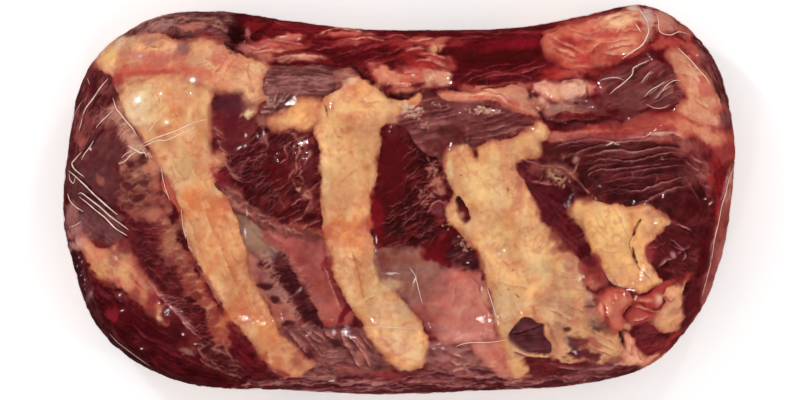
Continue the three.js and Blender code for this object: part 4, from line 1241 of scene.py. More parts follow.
    # the strap's mottled foot, pale and torn, with dark blots
    layFat(p, """536,302 548,292 562,286 576,284 590,294 612,328 622,338 624,350 620,362 604,366 590,362
572,366 556,363 548,352 536,322""", (206, 152, 108), (176, 118, 88), -40, 0.5, seed=123, stains=0.6,
           cracks=0.3, paintedShadow=0.1, soft=4, ragged=3, rim=(190, 120, 92))
    layFat(p, '556,262 566,256 576,258 583,266 585,280 584,296 592,310 580,306 566,296 556,280',
           (212, 166, 114), (190, 134, 100), 80, 0.3, seed=128, soft=5, paintedShadow=0, fringe=0)
    blots(p, """571 263 8 7 0 176 116 88 0.7
571 281 8 11 0 180 118 88 0.7
578 284 6 16 -6 202 138 106 0.7
556 326 9 5 0 156 114 94 0.7
567 330 5 3 0 70 42 40 0.85 -0.4
575 346 10 11 20 78 48 54 0.9 -0.6
584 357 17 6 -4 84 30 36 0.9 -0.3
590 302 9 6 0 134 104 102 0.75
592 306 8 2 10 66 44 46 0.8 -0.4
592 295 8 4 0 196 144 128 0.7
599 322 9 10 -30 112 86 76 0.8
601 330 7 4 0 62 42 42 0.8 -0.4
594 344 10 5 -30 160 78 66 0.7
588 355 9 4 -20 92 38 42 0.8""", 0.8, 89)
    folds(p, """546,310 556,312 572,324;548,318 558,322 566,326;590,338 602,343 614,350;
586,346 600,350 612,356;604,336 612,342 620,346;566,304 578,310 586,318;550,330 556,340 558,350;
586,328 596,334 606,336;544,322 550,330 552,340""", (232, 184, 154), (132, 78, 66), 1.2, 0.75, -70, 0.6, 90,
          1.6)
    dabs(p, 575, 352, 4, 3, 9, (196, 186, 190), 0.8, 0.8, 93)
    # the smooth dark oval in it and the brown muscle below
    layMuscle(p, """509,339 518,322 526,318 533,320 538,324 544,324 543,331 547,340 552,346 551,355 538,356
520,350""", (80, 40, 44), (100, 60, 60), 15, 0.15, (150, 104, 104), seed=124, ragged=0.6, soft=1.1,
              rise=-0.5, bloom=0)
    # painted shadow along the oval's upper rim
    folds(p, '510,336 531,329 543,326', (104, 62, 64), (42, 12, 18), 1.6, 0.9, -80, 0.4, 94, 0.5)
    layMuscle(p, '526,358 544,358 576,366 590,368 570,374 552,382 536,386 524,384 528,370', (84, 24, 26),
              (116, 46, 44), 10, 0.3, (170, 110, 100), seed=125)
    folds(p, '513,352 522,353 532,357', (206, 160, 150), (90, 30, 34), 1.6, 0.8, -80, 0.5, 95, 1.0)
    # net of tissue between the third and fourth straps
    blots(p, """549 172 9 8 0 138 84 64 0.7
575 160 5 5 30 172 132 116 0.85 0.5""", 0.7, 96)
    blots(p, '564 172 16 7 -25 156 98 84 0.75', 0.45, 416)
    dabs(p, 558, 178, 14, 7, 34, (190, 146, 112), 1.7, 0.85, 405, turn=-35)
    dabs(p, 555, 176, 14, 6, 8, (70, 24, 26), 1.4, 0.9, 406, rise=-0.4, turn=-35)
    folds(p, """516,164 526,160 546,168 556,166;524,178 546,186 558,186 566,181;
555,166 563,171 570,178 588,190 598,195;538,164 542,172 540,180;546,168 550,176 548,184;
556,170 560,178 556,184;566,176 576,170 582,164;568,180 574,188 576,198;580,186 586,192 586,200;
560,162 566,158 572,154""", (204, 144, 122), (70, 20, 24), 1.2, 0.85, -70, 0.6, 97, 2.2)


# The short strap at the right with its nodules
def fourthStrap(p):
    layFat(p, """569,209 574,201 584,199 600,202 623,203 630,206 640,204 650,206 672,221 655,238 648,246
648,254 658,274 664,283 642,294 630,290 608,281 598,262 590,256 589,246 576,222""", (230, 168, 112),
           (212, 140, 98), 95, 1.7, seed=130, stains=0.4, cracks=0.1, ragged=0.9)
    blots(p, """606 226 18 18 -15 240 182 118 0.75
612 256 16 18 -20 228 164 108 0.7
628 276 18 10 -20 222 154 112 0.7
650 214 9 6 -20 180 120 90 0.75
650 252 5 12 10 196 104 88 0.7
655 254 6 12 10 130 40 42 0.7
650 276 7 8 -30 214 148 112 0.7""", 0.5, 98)
    folds(p, '640,221 632,238 632,249 640,267 648,275 655,283', (236, 184, 136), (96, 48, 36), 1.1, 0.8,
          180, 0.7, 99, 0.3)
    # painted shade in two creases of the strap
    thread(p, '640,219 635,229 633,235', (26, 4, 8), 1.5, 0.95, 0.3, 29, -0.8)
    thread(p, '633,247 635,255 638,263', (34, 6, 10), 1.4, 0.9, 0.3, 30, -0.8)
    folds(p, '592,213 600,211 608,209;600,248 612,252 622,250', (240, 190, 140), (168, 108, 70), 0.8, 0.6,
          -80, 0.3, 100, 0.6)
    # the strap's lower edge, a painted highlight with a painted shadow outside it
    folds(p, '600,262 609,280 630,289', (252, 232, 208), (56, 10, 18), 1.1, 0.95, 230, 0.6, 101, 0.3)
    # dark muscle right of it, with white branches
    blots(p, '676 248 18 18 0 86 26 30 0.8', 0.5, 102)
    folds(p, """668,243 660,247 650,250;669,238 679,247 691,256;675,224 688,229 697,240;
664,228 670,224 677,222;672,246 680,250 688,252;674,258 666,262 660,268;676,256 684,252 692,248;
684,262 688,256 687,250""", (200, 146, 142), (40, 6, 12), 0.9, 0.9, -60, 0.5, 103, 0.9)
    blots(p, '674 255 3 4 10 184 132 132 0.8 0.4', 0.8, 122)
    # lobes below the strap: mauve node, red band, orange and salmon nodules, pale fat at the right
    layFat(p, '583,262 590,257 598,260 603,270 606,284 604,289 596,288 587,282 583,272', (124, 54, 52),
           (92, 32, 36), 60, 0.9, seed=131, paintedShadow=0.7, ragged=2)
    blots(p, '590 262 8 5 -20 82 24 30 0.8', 0.4, 105)
    layFat(p, '631,297 641,296 652,293 672,280 684,275 692,276 687,283 674,291 664,300 658,310 632,307',
           (190, 76, 62), (160, 46, 46), 20, 0.7, seed=132, paintedShadow=0.3, fringe=0.1, rim=(140, 36, 38))
    layFat(p, '688,282 686,291 682,298 684,318 675,334 656,328 650,321 658,317 668,303 664,296 677,284',
           (226, 160, 114), (196, 120, 90), 70, 1.2, seed=133, paintedShadow=0.6, fringe=0.2)
    layFat(p, '655,298 659,294 664,297 664,304 657,306', (238, 194, 164), (210, 150, 120), 0, 0.9, seed=134,
           fringe=0)
    layFat(p, '626,315 632,309 642,307 656,318 641,327 631,326 625,322', (176, 78, 68), (150, 56, 54), 10,
           1.0, seed=135, paintedShadow=0.8, fringe=0.1, rim=(150, 44, 42))
    layFat(p, """600,297 606,289 616,287 626,289 632,294 633,302 624,316 628,323 626,330 618,334 611,331
600,311""", (202, 108, 86), (176, 78, 66), 70, 1.6, seed=136, paintedShadow=0.8, fringe=0.1, ragged=0.8,
           rim=(150, 40, 38))
    blots(p, """606 310 6 12 -10 236 156 122 0.75 0.3
616 324 8 6 0 206 112 88 0.7 0.3
645 301 9 2.4 0 214 140 122 0.8 0.4
666 320 12 8 0 234 166 116 0.7
628 329 6 4 20 226 150 118 0.85 0.5
640 344 14 12 10 112 44 46 0.75
652 350 16 5 16 140 38 42 0.8
676 338 16 3 42 168 54 50 0.8""", 0.45, 106)
    folds(p, """624,314 628,310 633,303;632,308 644,310 656,315 663,312;602,300 604,312 608,324;
612,290 622,291 630,297;664,296 670,300 676,298;634,322 642,321 650,318""", (240, 158, 124), (126, 30, 32),
          1.0, 0.8, -60, 0.5, 107, 0.6)
    folds(p, """632,334 642,332 652,330;636,342 648,340 660,336 670,334;640,350 652,350 664,344;
644,338 656,334 668,337""", (128, 62, 66), (48, 8, 16), 1.0, 0.8, -70, 0.4, 108, 0.8)
    # corner piece, and the bright edge of the film round it
    layFat(p, '624,338 631,337 640,353 650,358 660,354 651,364 640,369 628,369 622,363 623,350',
           (226, 158, 126), (190, 108, 86), 60, 1.0, seed=139, paintedShadow=0.5, fringe=0.2)
    blots(p, '652 360 11 3 25 224 130 104 0.8', 0.6, 109)
    folds(p, '627,342 631,350 630,360;636,350 638,358 644,362;625,352 630,356 638,354', (244, 196, 168),
          (150, 66, 58), 1.0, 0.8, 20, 0.4, 110)
    folds(p, '693,326 684,338 658,359 644,366', (232, 136, 112), (124, 30, 34), 1.3, 0.9, 140, 0.5, 111,
          0.5)
    thread(p, '621,334 623,341 626,349', (26, 6, 10), 1.9, 0.95, 0.4, 31, -0.8)


# Fringes, edges, lines of tissue and painted glints of the wet film that run over more than one part
def rims(p):
    # folded fibres along the near edge: long bands, light on dark
    layMuscle(p, """246,384 262,379 290,382 310,377 340,378 372,377 430,373 498,382 530,384 560,372 590,367
622,367 640,370 600,386 560,396 400,404 280,400""", (76, 26, 30), (118, 60, 58), 1, 0.2, (190, 136, 126),
              seed=140, cover=0.8, streak=(44, 2))
    for number in range(26):
        x = 250 + 13.5 * number
        low = 392 - 0.00009 * (x - 385) ** 2 - 3.2 * (number % 5)
        reach = 26 + 9 * (number % 4)
        path = '%d,%.1f %d,%.1f %d,%.1f %d,%.1f' % (x - reach, low + 1.5, x - 8, low, x + 8, low - 0.4,
                                                    x + reach, low - 1)
        colour, wide = ((188, 126, 118), 0.9) if number % 3 else ((66, 20, 26), 1.8)
        thread(p, path, colour, wide, 0.7, 2.0, 33 + number)
    blots(p, """386 378 20 4 -4 150 62 56 0.7
350 372 16 5 -10 160 78 68 0.6
481 374 12 3 -10 66 22 28 0.8
322 380 16 3 4 190 144 120 0.7
438 384 30 2 2 172 108 98 0.6
540 374 16 8 0 96 30 32 0.7
600 372 26 3 8 168 112 108 0.6
620 366 10 2 4 206 150 140 0.7
586 377 14 5 6 146 88 82 0.6
441 376 13 5 0 90 40 42 0.7
282 375 11 4 -20 114 42 40 0.75""", 0.6, 112)
    folds(p, """302,384 316,379 334,378;548,366 566,371 590,372;570,376 600,372 632,368;
420,378 446,376 466,381;482,384 520,386 556,380;330,388 366,386 400,388""", (204, 146, 136), (60, 18, 24),
          1.2, 0.8, -80, 0.5, 113, 1.2)
    # dark wet rim of the left end with its small glints, and the red rim of the right end
    layMuscle(p, """66,240 76,250 95,302 108,326 126,350 150,368 180,380 220,392 180,396 120,372 84,330
64,276""", (52, 18, 22), (92, 42, 44), -62, 0.15, seed=141)
    draw = np.random.default_rng(97)
    for number in range(8):
        y = 258 + 4.6 * number
        glint(p, 74 + 0.22 * (y - 258) + draw.uniform(-1, 5), y, draw.uniform(0.4, 0.8),
              draw.uniform(0.8, 1.8), -20, 0.6)
    layMuscle(p, '708,270 700,300 684,330 664,358 640,374 620,388 640,390 690,352 720,300 732,250 722,250',
              (92, 24, 30), (142, 66, 64), 58, 0.2, (180, 110, 104), seed=142)
    # where the film stands off the right side
    blots(p, """706 256 6 26 -8 78 6 16 0.85
696 300 8 18 -20 96 20 30 0.7""", 0.4, 409)
    layFat(p, '737,160 727,190 721,220 716,240 714,258 706,288 703,304 714,300 722,276 730,256 740,200',
           (158, 84, 74), (120, 56, 54), -78, 0.2, seed=143, paintedShadow=0.5, cracks=0.4, rim=(120, 50, 50), soft=1,
           fringe=0, ragged=0.6)
    blots(p, """733 178 3 11 -8 196 136 112 0.8
730 196 3 9 -8 184 122 100 0.8""", 0.5, 410)
    folds(p, """736,164 731,178 723,207;724,205 716,240 714,258;715,250 712,268 707,284;
732,180 729,192 727,204""", (214, 166, 154), (84, 30, 34), 0.7, 0.85, 0, 0.3, 411, 0.3)
    # the seam: painted shade along its whole length
    thread(p, """226,42 250,55 264,57 279,61;346,64 353,65 362,73 386,92 395,96 405,97 421,89;
526,87 533,101 545,117""", (44, 8, 12), 2.2, 0.9, 1.0, seed=35, rise=-0.5)
    thread(p, """421,89 437,87 453,87 474,89 490,86 513,82 526,87;545,118 560,122 586,121 604,118 623,121;
279,61 330,62 346,64""", (52, 10, 14), 1.5, 0.8, 1.0, seed=36, rise=-0.4)
    thread(p, '640,112 668,108 680,104', (86, 14, 26), 1.8, 0.7, seed=38, rise=-0.3)
    for line in glints.splitlines():
        glint(p, *[float(n) for n in line.split()])


# Sizes of the pack in mm, as in the part's source; crownFall is how far the crown drops towards the ends
# and towards the sides
pack = dict(crown=82.5, crownAt=(25, -8), crownFall=(11, 8), widest=35, topShoulder=42, underShoulder=27,
            settle=2.5, ribPitch=60, seamHalf=5.5, seamDepth=6.5, lipDrop=6)
outlinePoints = [
    (-148.5, -7), (-147, 18), (-141, 50), (-127.5, 69), (-104, 81.5), (-76, 83), (-48, 79), (-17.5, 75.5),
    (18, 75), (51, 76), (79.5, 81), (106, 86), (125.5, 77), (140.5, 58.5), (147.5, 30), (147, 4), (142, -26),
    (131, -52.5), (109.5, -74), (77, -82.5), (40, -84.5), (-6.5, -86.5), (-52.5, -84.5), (-90, -82.5),
    (-117.5, -71.5), (-135.5, -53), (-145, -26)]
straps = [  # middle line, half width along it, rise
    ([(-106, 38), (-93, 14), (-82, -12), (-71, -40), (-57, -66)], [14, 11, 12, 13, 10], 3),
    ([(-18, 46), (-23, 22), (-24, -4), (-15, -34), (3, -62)], [14, 13, 12, 12, 10], 3),
    ([(40, 30), (42, 6), (54, -16), (65, -38), (72, -58)], [13, 17, 20, 20, 17], 3.5),
    ([(84, -4), (93, -18), (101, -34), (118, -46)], [8, 14, 12, 9], 3.5)]
swellings = [  # middle, half sizes, turn, rise
    (-104, 46, 20, 13, -20, 3.5), (-55, 32, 18, 15, 0, -3), (10, 8, 17, 34, 12, -3),
    (22, -40, 15, 22, 20, -2), (-40, -36, 12, 26, 30, -2), (96, 28, 30, 13, -3, 2), (-6, 53, 13, 6.5, 8, 4.5),
    (40, 60, 30, 9, 4, -3.5), (100, 66, 22, 10, 10, 3), (92, -51, 9, 9, 0, 3), (-118, -28, 10, 22, 25, 2.5)]
seamLine = [(-71, 78), (-70, 66), (-56, 62), (-30, 60), (-12, 52), (-1, 45.5), (24, 49.5), (50, 51.5),
            (60, 40), (76, 33), (99, 35), (112, 40), (122, 44)]
spanSteps = 14  # points of the outline to each span
farSpans = 12  # the spans along its far side, which come first
outline = curve(outlinePoints, True, spanSteps)
middle = (outline.min(0) + outline.max(0)) / 2


# Quarter of an ellipse: 0 at the rim, 1 from a whole shoulder inwards
def quarter(share):
    return np.sqrt(1 - (1 - np.clip(share, 0, 1)) ** 2)


# Height over the plan: shoulder times the crown, with its straps, swellings and seam
def topHeight(x, y, far):
    rise = np.zeros_like(x)
    for line, half, most in straps:
        away, along, _ = distanceTo(curve(line, False, 10), x, y)
        wide = np.interp(along, np.linspace(0, 1, len(half)), half)
        rise = np.maximum(rise, most * ease(0, 1, (wide + 4 - away) / 8))
    for atX, atY, halfX, halfY, turn, most in swellings:
        a = np.radians(turn)
        u = ((x - atX) * np.cos(a) + (y - atY) * np.sin(a)) / halfX
        v = ((y - atY) * np.cos(a) - (x - atX) * np.sin(a)) / halfY
        rise = rise + most * np.exp(-1.1 * (u * u + v * v))
    chain = curve(seamLine, False, 6)
    away, along, _ = distanceTo(chain, x, y)
    fade = ease(0, 1, np.minimum(along, 1 - along) * 12)
    walked = walkedAt(chain)
    beyond = y > np.interp(along, walked / walked[-1], chain[:, 1])
    rise = rise - pack['seamDepth'] * fade * np.exp(-((away / pack['seamHalf']) ** 2))
    rise = rise - pack['lipDrop'] * fade * beyond * ease(0, 12, away)
    along = (x - pack['crownAt'][0]) / (3 * pack['ribPitch'])
    across = (y - pack['crownAt'][1]) / (2.2 * pack['ribPitch'])
    endFall, sideFall = pack['crownFall']
    full = pack['crown'] - endFall * along * along - sideFall * across * across + rise
    return pack['widest'] + (full - pack['widest']) * quarter(far / pack['topShoulder'])


# Height of the side below the widest line: a quarter ellipse, cut flat where it rests
def underHeight(far):
    low = pack['widest'] - (pack['widest'] + pack['settle']) * quarter(far / pack['underShoulder'])
    return np.maximum(low, 0)


# the line that the skin's rows start from, and the longest way from it to the rim
spine = dict(left=-72.0, right=80.0, y=-1.0, reach=84)
# below the widest line the rows and columns stand this many times as far apart
coarse = 2


# Columns of the surface: plan points on the spine and on the outline. They stand square to the spine
# between its ends and fan out round both ends.
def columns(step):
    top = outline[:spanSteps * farSpans]
    rest = np.vstack([outline[spanSteps * farSpans:], outline[:1]])
    count = coarse * round((spine['right'] - spine['left']) / step / coarse)
    x = np.linspace(spine['left'], spine['right'], count + 1)
    far = np.column_stack([x, np.interp(x, top[:, 0], top[:, 1])])
    low = rest[rest[:, 1] < 0]
    near = np.column_stack([x, np.interp(x, low[::-1, 0], low[::-1, 1])])[::-1]
    left, right = outline[outline[:, 0] < spine['left']], outline[outline[:, 0] > spine['right']]
    first = left[:, 1] < outlinePoints[0][1]  # what comes before the outline's first point
    leftPart = np.vstack([near[-1:], left[first], left[~first], far[:1]])
    rightPart = np.vstack([far[-1:], right, near[:1]])

    # the same chain, in even steps
    def evenly(chain):
        walked = walkedAt(chain)
        number = coarse * round(walked[-1] / step / coarse)
        at = np.linspace(0, walked[-1], number + 1)
        return np.column_stack([np.interp(at, walked, chain[:, 0]), np.interp(at, walked, chain[:, 1])])
    rim = np.vstack([far[:-1], evenly(rightPart)[:-1], near[:-1], evenly(leftPart)[:-1]])
    core = np.column_stack([np.clip(rim[:, 0], spine['left'], spine['right']), np.full(len(rim), spine['y'])])
    return core, rim


# Shares of the way from the spine to the rim: even steps, then closer and closer over the last ones
def shares(length, step, crowd):
    count = coarse * round((length + step * crowd / 2) / step / coarse)
    left = np.arange(count, -1, -1.0)
    gone = np.where(left < crowd, step * left * left / (2 * crowd), step * (left - crowd / 2))
    return 1 - gone / gone[0]


# The skin of the pack, in mm: rows of places from the spine to the rim, and rows from there on below
def packSkin(step, crowd):
    core, rim = columns(step)
    share = shares(spine['reach'], step, crowd)[:, None, None]
    over = core + share * (rim - core)
    under = (core + share[::-1][coarse::coarse] * (rim - core))[:, ::coarse]
    x, y = over[..., 0], over[..., 1]
    far = distanceTo(outline, x, y, True)[0]
    far[-1] = 0
    high = topHeight(x, y, far)
    high[-1] = pack['widest']
    lowX, lowY = under[..., 0], under[..., 1]
    low = underHeight(distanceTo(outline, lowX, lowY, True)[0])
    return np.stack([x, y, high], -1), np.stack([lowX, lowY, low], -1)


# metres, the sensor in mm; centre is the place on the plan, in mm, at the middle of the picture
camera = dict(height=3.5, level=0.035, wide=0.352, centre=(0.22, -0.44), sensor=36)


# How much larger a thing looks at height z, in mm, than on the camera's level
def nearness(z):
    return (camera['height'] - camera['level']) / (camera['height'] - z / 1000)


# Where a point of the skin is seen on the picture, x right and y down
def pictureOf(x, y, z):
    return (picture['x'] + (x - camera['centre'][0]) / picture['step'] * nearness(z),
            picture['y'] - (y - camera['centre'][1]) / picture['step'] * nearness(z))


# Quads and larger faces over the rows of the skin, turned outwards. Rows run from the spine over the
# rim, columns clockwise; the rows below the rim are coarse. Faces of the columns from first to last only.
def skinFaces(top, bottom, first=0, last=None):
    (rows, count), (lowRows, lowCount) = top.shape[:2], bottom.shape[:2]
    last = count if last is None else last
    k = np.arange(first, last)
    m = np.arange(rows - 1)[:, None]
    across = (k + 1) % count
    over = np.stack([m * count + k, m * count + across, (m + 1) * count + across, (m + 1) * count + k], -1)
    j = np.arange(first // coarse, last // coarse)
    after = (j + 1) % lowCount
    base = rows * count
    rim = (rows - 1) * count
    cut = np.stack([rim + (coarse * j + i) % count for i in range(coarse + 1)] + [base + after, base + j], -1)
    m = np.arange(lowRows - 1)[:, None]
    under = np.stack([base + m * lowCount + j, base + m * lowCount + after, base + (m + 1) * lowCount + after,
                      base + (m + 1) * lowCount + j], -1)
    return over.reshape(-1, 4), cut, under.reshape(-1, 4)


# Each of those faces by four of its corners
def fourCorners(over, cut, under):
    return np.vstack([over, cut[:, [0, 2, 3, 4]], under])


# One number for each place: points at the same place, to 0.0001 mm, share the lowest
def welded(places):
    keys = np.round(places * 1e4).astype(np.int64)
    keys = keys[:, 0] * 4000000007 + keys[:, 1] * 2000003 + keys[:, 2]  # one whole number from the three
    _, firstOf, back = np.unique(keys, return_index=True, return_inverse=True)
    return firstOf[back]


# Normal of each point: sum of the normals of the quads round it
def normalsOf(places, quads, same):
    p = places
    across = np.cross(p[quads[:, 2]] - p[quads[:, 0]], p[quads[:, 3]] - p[quads[:, 1]])  # twice its area
    total = np.zeros((len(p), 3))
    for i in range(4):
        corner = same[quads[:, i]]
        for axis in range(3):
            total[:, axis] += np.bincount(corner, across[:, axis], len(p))
    total = total[same]
    return total / np.maximum(np.linalg.norm(total, axis=1, keepdims=True), 1e-12)


# Mesh from points in mm on the plan and arrays of faces of several sizes
def meshFrom(name, places, faces, normals=None, paints=None):
    corners = np.concatenate([f.ravel() for f in faces])
    sizes = np.concatenate([np.full(len(f), f.shape[1]) for f in faces])
    used, corners = np.unique(corners, return_inverse=True)
    mesh = bpy.data.meshes.new(name)
    mesh.vertices.add(len(used))
    metres = (places[used] - [middle[0], middle[1], 0]) / 1000
    mesh.vertices.foreach_set('co', metres.astype(np.float32).ravel())
    mesh.loops.add(len(corners))
    mesh.loops.foreach_set('vertex_index', corners.astype(np.int32))
    mesh.polygons.add(len(sizes))
    mesh.polygons.foreach_set('loop_start', (np.cumsum(sizes) - sizes).astype(np.int32))
    mesh.polygons.foreach_set('use_smooth', np.ones(len(sizes), bool))
    mesh.update(calc_edges=True)
    for title, values in (paints or {}).items():
        layer = mesh.attributes.new(title, 'FLOAT_COLOR', 'POINT')
        layer.data.foreach_set('color', values[used].astype(np.float32).ravel())
    if normals is not None:
        mesh.normals_split_custom_set_from_vertices(normals[used].astype(np.float32))
    piece = bpy.data.objects.new(name, mesh)
    bpy.context.scene.collection.objects.link(piece)
    return piece


# Quads with two corners at one place become triangles
def withoutDoubles(quads, same):
    q = same[quads]
    kept = q[(q[:, 0] != q[:, 1]) & (q[:, 2] != q[:, 3])]
    flat = q[(q[:, 0] == q[:, 1]) & (q[:, 2] != q[:, 3])][:, 1:]
    other = q[(q[:, 2] == q[:, 3]) & (q[:, 0] != q[:, 1])][:, :3]
    return [kept, flat, other]


# The faces of the skin with their points welded
def weldedFaces(over, cut, under, same):
    return withoutDoubles(over, same) + [same[cut]] + withoutDoubles(under, same)


# Distance walked down each column of places
def walkedAlong(column):
    steps = np.linalg.norm(np.diff(column, axis=0), axis=2)
    return np.vstack([np.zeros((1, column.shape[1])), np.cumsum(steps, axis=0)])


# Linear light from the colours as they look on a screen
def toLinear(colour):
    colour = np.clip(colour, 0, 1)
    return np.where(colour < 0.04045, colour / 12.92, ((colour + 0.055) / 1.055) ** 2.4)


# mm: the skin's grid (crowd is how many rows draw together at the rim), how far the skin lies inside the
# pack, its lowest and highest relief, how far it is sunk at the outline and more above and below, and how
# far it stays over the table
meat = dict(step=0.4, crowd=44, sections=8, inset=0.55, lowest=-2.2, highest=0.3,
            sunk=0.25, sunkAbove=0.65, clear=0.35)

top, bottom = packSkin(meat['step'], meat['crowd'])
rows, count = top.shape[:2]
lowRows, lowCount = bottom.shape[:2]
start = rows * count  # the first place below the widest line
core, rim = columns(meat['step'])
outward = rim - core
outward = outward / np.linalg.norm(outward, axis=1, keepdims=True)
walk = walkedAlong(top)
lowWalk = walkedAlong(np.concatenate([top[-1:, ::coarse], bottom], 0))[1:]
places = np.vstack([top.reshape(-1, 3), bottom.reshape(-1, 3)])
print('skin', len(places))

# plan places of the colours, and places for noise, which unroll the sides
planX, planY = pictureOf(top[..., 0], top[..., 1], top[..., 2])
rimX, rimY = planX[-1], planY[-1]
coreX, coreY = planX[0], planY[0]
noiseX = coreX + outward[:, 0] * walk / picture['step']
noiseY = coreY - outward[:, 1] * walk / picture['step']
lowOut = outward[::coarse]
lowNoiseX = noiseX[-1, ::coarse] + lowOut[:, 0] * lowWalk / picture['step']
lowNoiseY = noiseY[-1, ::coarse] - lowOut[:, 1] * lowWalk / picture['step']
# patches run on down the side, torn
reach = lowWalk / picture['step'] * (0.1 + 0.7 * rough(lowNoiseX / 24, lowNoiseY / 24, 83, 3))
lowPlanX = rimX[::coarse] + lowOut[:, 0] * reach
lowPlanY = rimY[::coarse] - lowOut[:, 1] * reach
painting = Painting(np.concatenate([planX.ravel(), lowPlanX.ravel()]),
                    np.concatenate([planY.ravel(), lowPlanY.ravel()]),
                    np.concatenate([noiseX.ravel(), lowNoiseX.ravel()]),
                    np.concatenate([noiseY.ravel(), lowNoiseY.ravel()]))
paintMeat(painting)
print('meat painted')

# how far round the widest line each column of the skin lies, in steps of the picture
arc = walkedAt(np.column_stack([rimX[::coarse], rimY[::coarse]]))
paintWalls(painting, np.arange(start, len(places)), np.broadcast_to(arc, lowWalk.shape).ravel(),
           (lowWalk / picture['step']).ravel())

# the hidden side: its own pattern from where the skin turns under
spread = np.maximum(0, 40 - lowWalk)
underX = picture['x'] + bottom[..., 0] / picture['step'] + lowOut[:, 0] * spread / picture['step']
underY = picture['y'] - bottom[..., 1] / picture['step'] - lowOut[:, 1] * spread / picture['step']
below = Painting(underX, underY, underX + 900, underY)
paintUnder(below)
share = ease(12, 34, lowWalk.ravel())[:, None]
painting.colour[start:] += (below.colour - painting.colour[start:]) * share
painting.relief[start:] += (below.relief - painting.relief[start:]) * share[:, 0]

same = welded(places)
quads = fourCorners(*skinFaces(top, bottom))
smooth = normalsOf(places, quads, same)
relief = np.clip(painting.relief[same], meat['lowest'], None)
relief[start:] *= ease(0.2, 6, places[start:, 2])  # pressed flat where it rests
relief = relief - meat['sunk'] - meat['sunkAbove'] * np.abs(smooth[:, 2])
relief = np.where(relief > 0, meat['highest'] * (1 - np.exp(-relief / meat['highest'])), relief)
meatPlaces = places + smooth * (relief - meat['inset'])[:, None]
meatPlaces[start:, 2] = np.maximum(meatPlaces[start:, 2], meat['clear'])
meatNormals = normalsOf(meatPlaces, quads, same)
# the film's sheen greys what lies under it, so the tones are a little deeper and redder than they look,
# and the photograph's light is even at the sides, so these are a little paler than what lies level
tones = dict(redder=0.17, fullRed=0.87, stronger=1.075, darker=(0.036, 0.03), sides=1.2, level=0.3)
red, other = np.clip(painting.colour[:, :1], 0, 1), painting.colour[:, 1:]
deeper = np.hstack([red + tones['redder'] * red * (tones['fullRed'] - red),
                    tones['stronger'] * other - tones['darker']])
colour = toLinear(deeper) * (tones['sides'] - tones['level'] * np.abs(smooth[:, 2:]))
colour = np.column_stack([colour, np.ones(len(places))])[same]
print('relief', relief.min(), relief.max())


# One whole column of the skin, from the spine over the rim and back under it
def wholeColumn(k, j):
    return same[np.concatenate([np.arange(rows) * count + k, start + np.arange(lowRows) * lowCount + j])]


# rib sections: the meat cut across its skin into closed wedges, each with a wall at both ends and one
# between its stretches of the spine above and below
sections = []
cuts = [coarse * round(i * count / coarse / meat['sections']) for i in range(meat['sections'] + 1)]
for number, (first, last) in enumerate(zip(cuts, cuts[1:])):
    k = np.arange(first, last + 1) % count
    j = np.arange(first // coarse, last // coarse + 1) % lowCount
    caps = [wholeColumn(k[0], j[0])[None], wholeColumn(k[-1], j[-1])[None, ::-1]]
    inner = same[np.concatenate([k[::-1], start + (lowRows - 1) * lowCount + j])]
    inner = inner[inner != np.roll(inner, 1)]
    if len(inner) > 2:
        caps.append(inner[None])
    sections.append(meshFrom('meat_section_%d' % (number + 1), meatPlaces,
                             weldedFaces(*skinFaces(top, bottom, first, last), same) + caps,
                             meatNormals, dict(tint=colour)))
print('sections', [len(piece.data.vertices) for piece in sections])


# One socket of a node tree: its operators add Math nodes
class Signal:
    def __init__(self, tree, socket):
        self.tree, self.socket = tree, socket

    # one Math node on this value and another
    def math(self, operation, other=None, swap=False, clamp=False):
        node = self.tree.nodes.new('ShaderNodeMath')
        node.operation, node.use_clamp = operation, clamp
        values = [self, other][::-1] if swap else [self, other]
        for place, value in zip(node.inputs, values):
            if isinstance(value, Signal):
                self.tree.links.new(value.socket, place)
            elif value is not None:
                place.default_value = value
        return Signal(self.tree, node.outputs[0])

    def __add__(self, other):
        return self.math('ADD', other)

    def __sub__(self, other):
        return self.math('SUBTRACT', other)

    def __rsub__(self, other):
        return self.math('SUBTRACT', other, swap=True)

    def __mul__(self, other):
        return self.math('MULTIPLY', other)

    __radd__, __rmul__ = __add__, __mul__

    # kept between 0 and 1
    def limited(self):
        return self.math('ADD', 0.0, clamp=True)


# The node tree of a material, or of the world
class Finish:
    def __init__(self, owner):
        self.owner = owner
        owner.use_nodes = True
        self.tree = owner.node_tree
        self.tree.nodes.clear()

    # any other node: its type, its settings, which of its outputs is wanted, and its sockets by name, or
    # by number as i0, i1
    def node(self, kind, settings=None, output=0, **sockets):
        node = self.tree.nodes.new('ShaderNode' + kind)
        for key, value in (settings or {}).items():
            setattr(node, key, value)
        for key, value in sockets.items():
            place = node.inputs[int(key[1:]) if key[1:].isdigit() else key.replace('_', ' ')]
            if isinstance(value, Signal):
                self.tree.links.new(value.socket, place)
            else:
                place.default_value = value
        return Signal(self.tree, node.outputs[output])

    # noise of a size in metres on the object's own coordinates
    def noise(self, size, detail=3.0, rough=0.55, stretch=None, output='Fac'):
        vector = self.node('TexCoord', output='Object')
        if stretch:
            vector = self.node('Mapping', Vector=vector, Scale=stretch)
        return self.node('TexNoise', None, output, Vector=vector, Scale=1 / size, Detail=detail,
                         Roughness=rough)

    # the shader goes to the output
    def surface(self, shader, kind='Material'):
        out = self.tree.nodes.new('ShaderNodeOutput' + kind)
        self.tree.links.new(shader.socket, out.inputs['Surface'])
        return self.owner


meatLooks = dict(grain=0.0022, speck=0.0008, darkest=0.86, mottled=0.18, speckled=0.1, roughness=0.42,
                 uneven=0.25, bump=0.0004, soft=0.05)


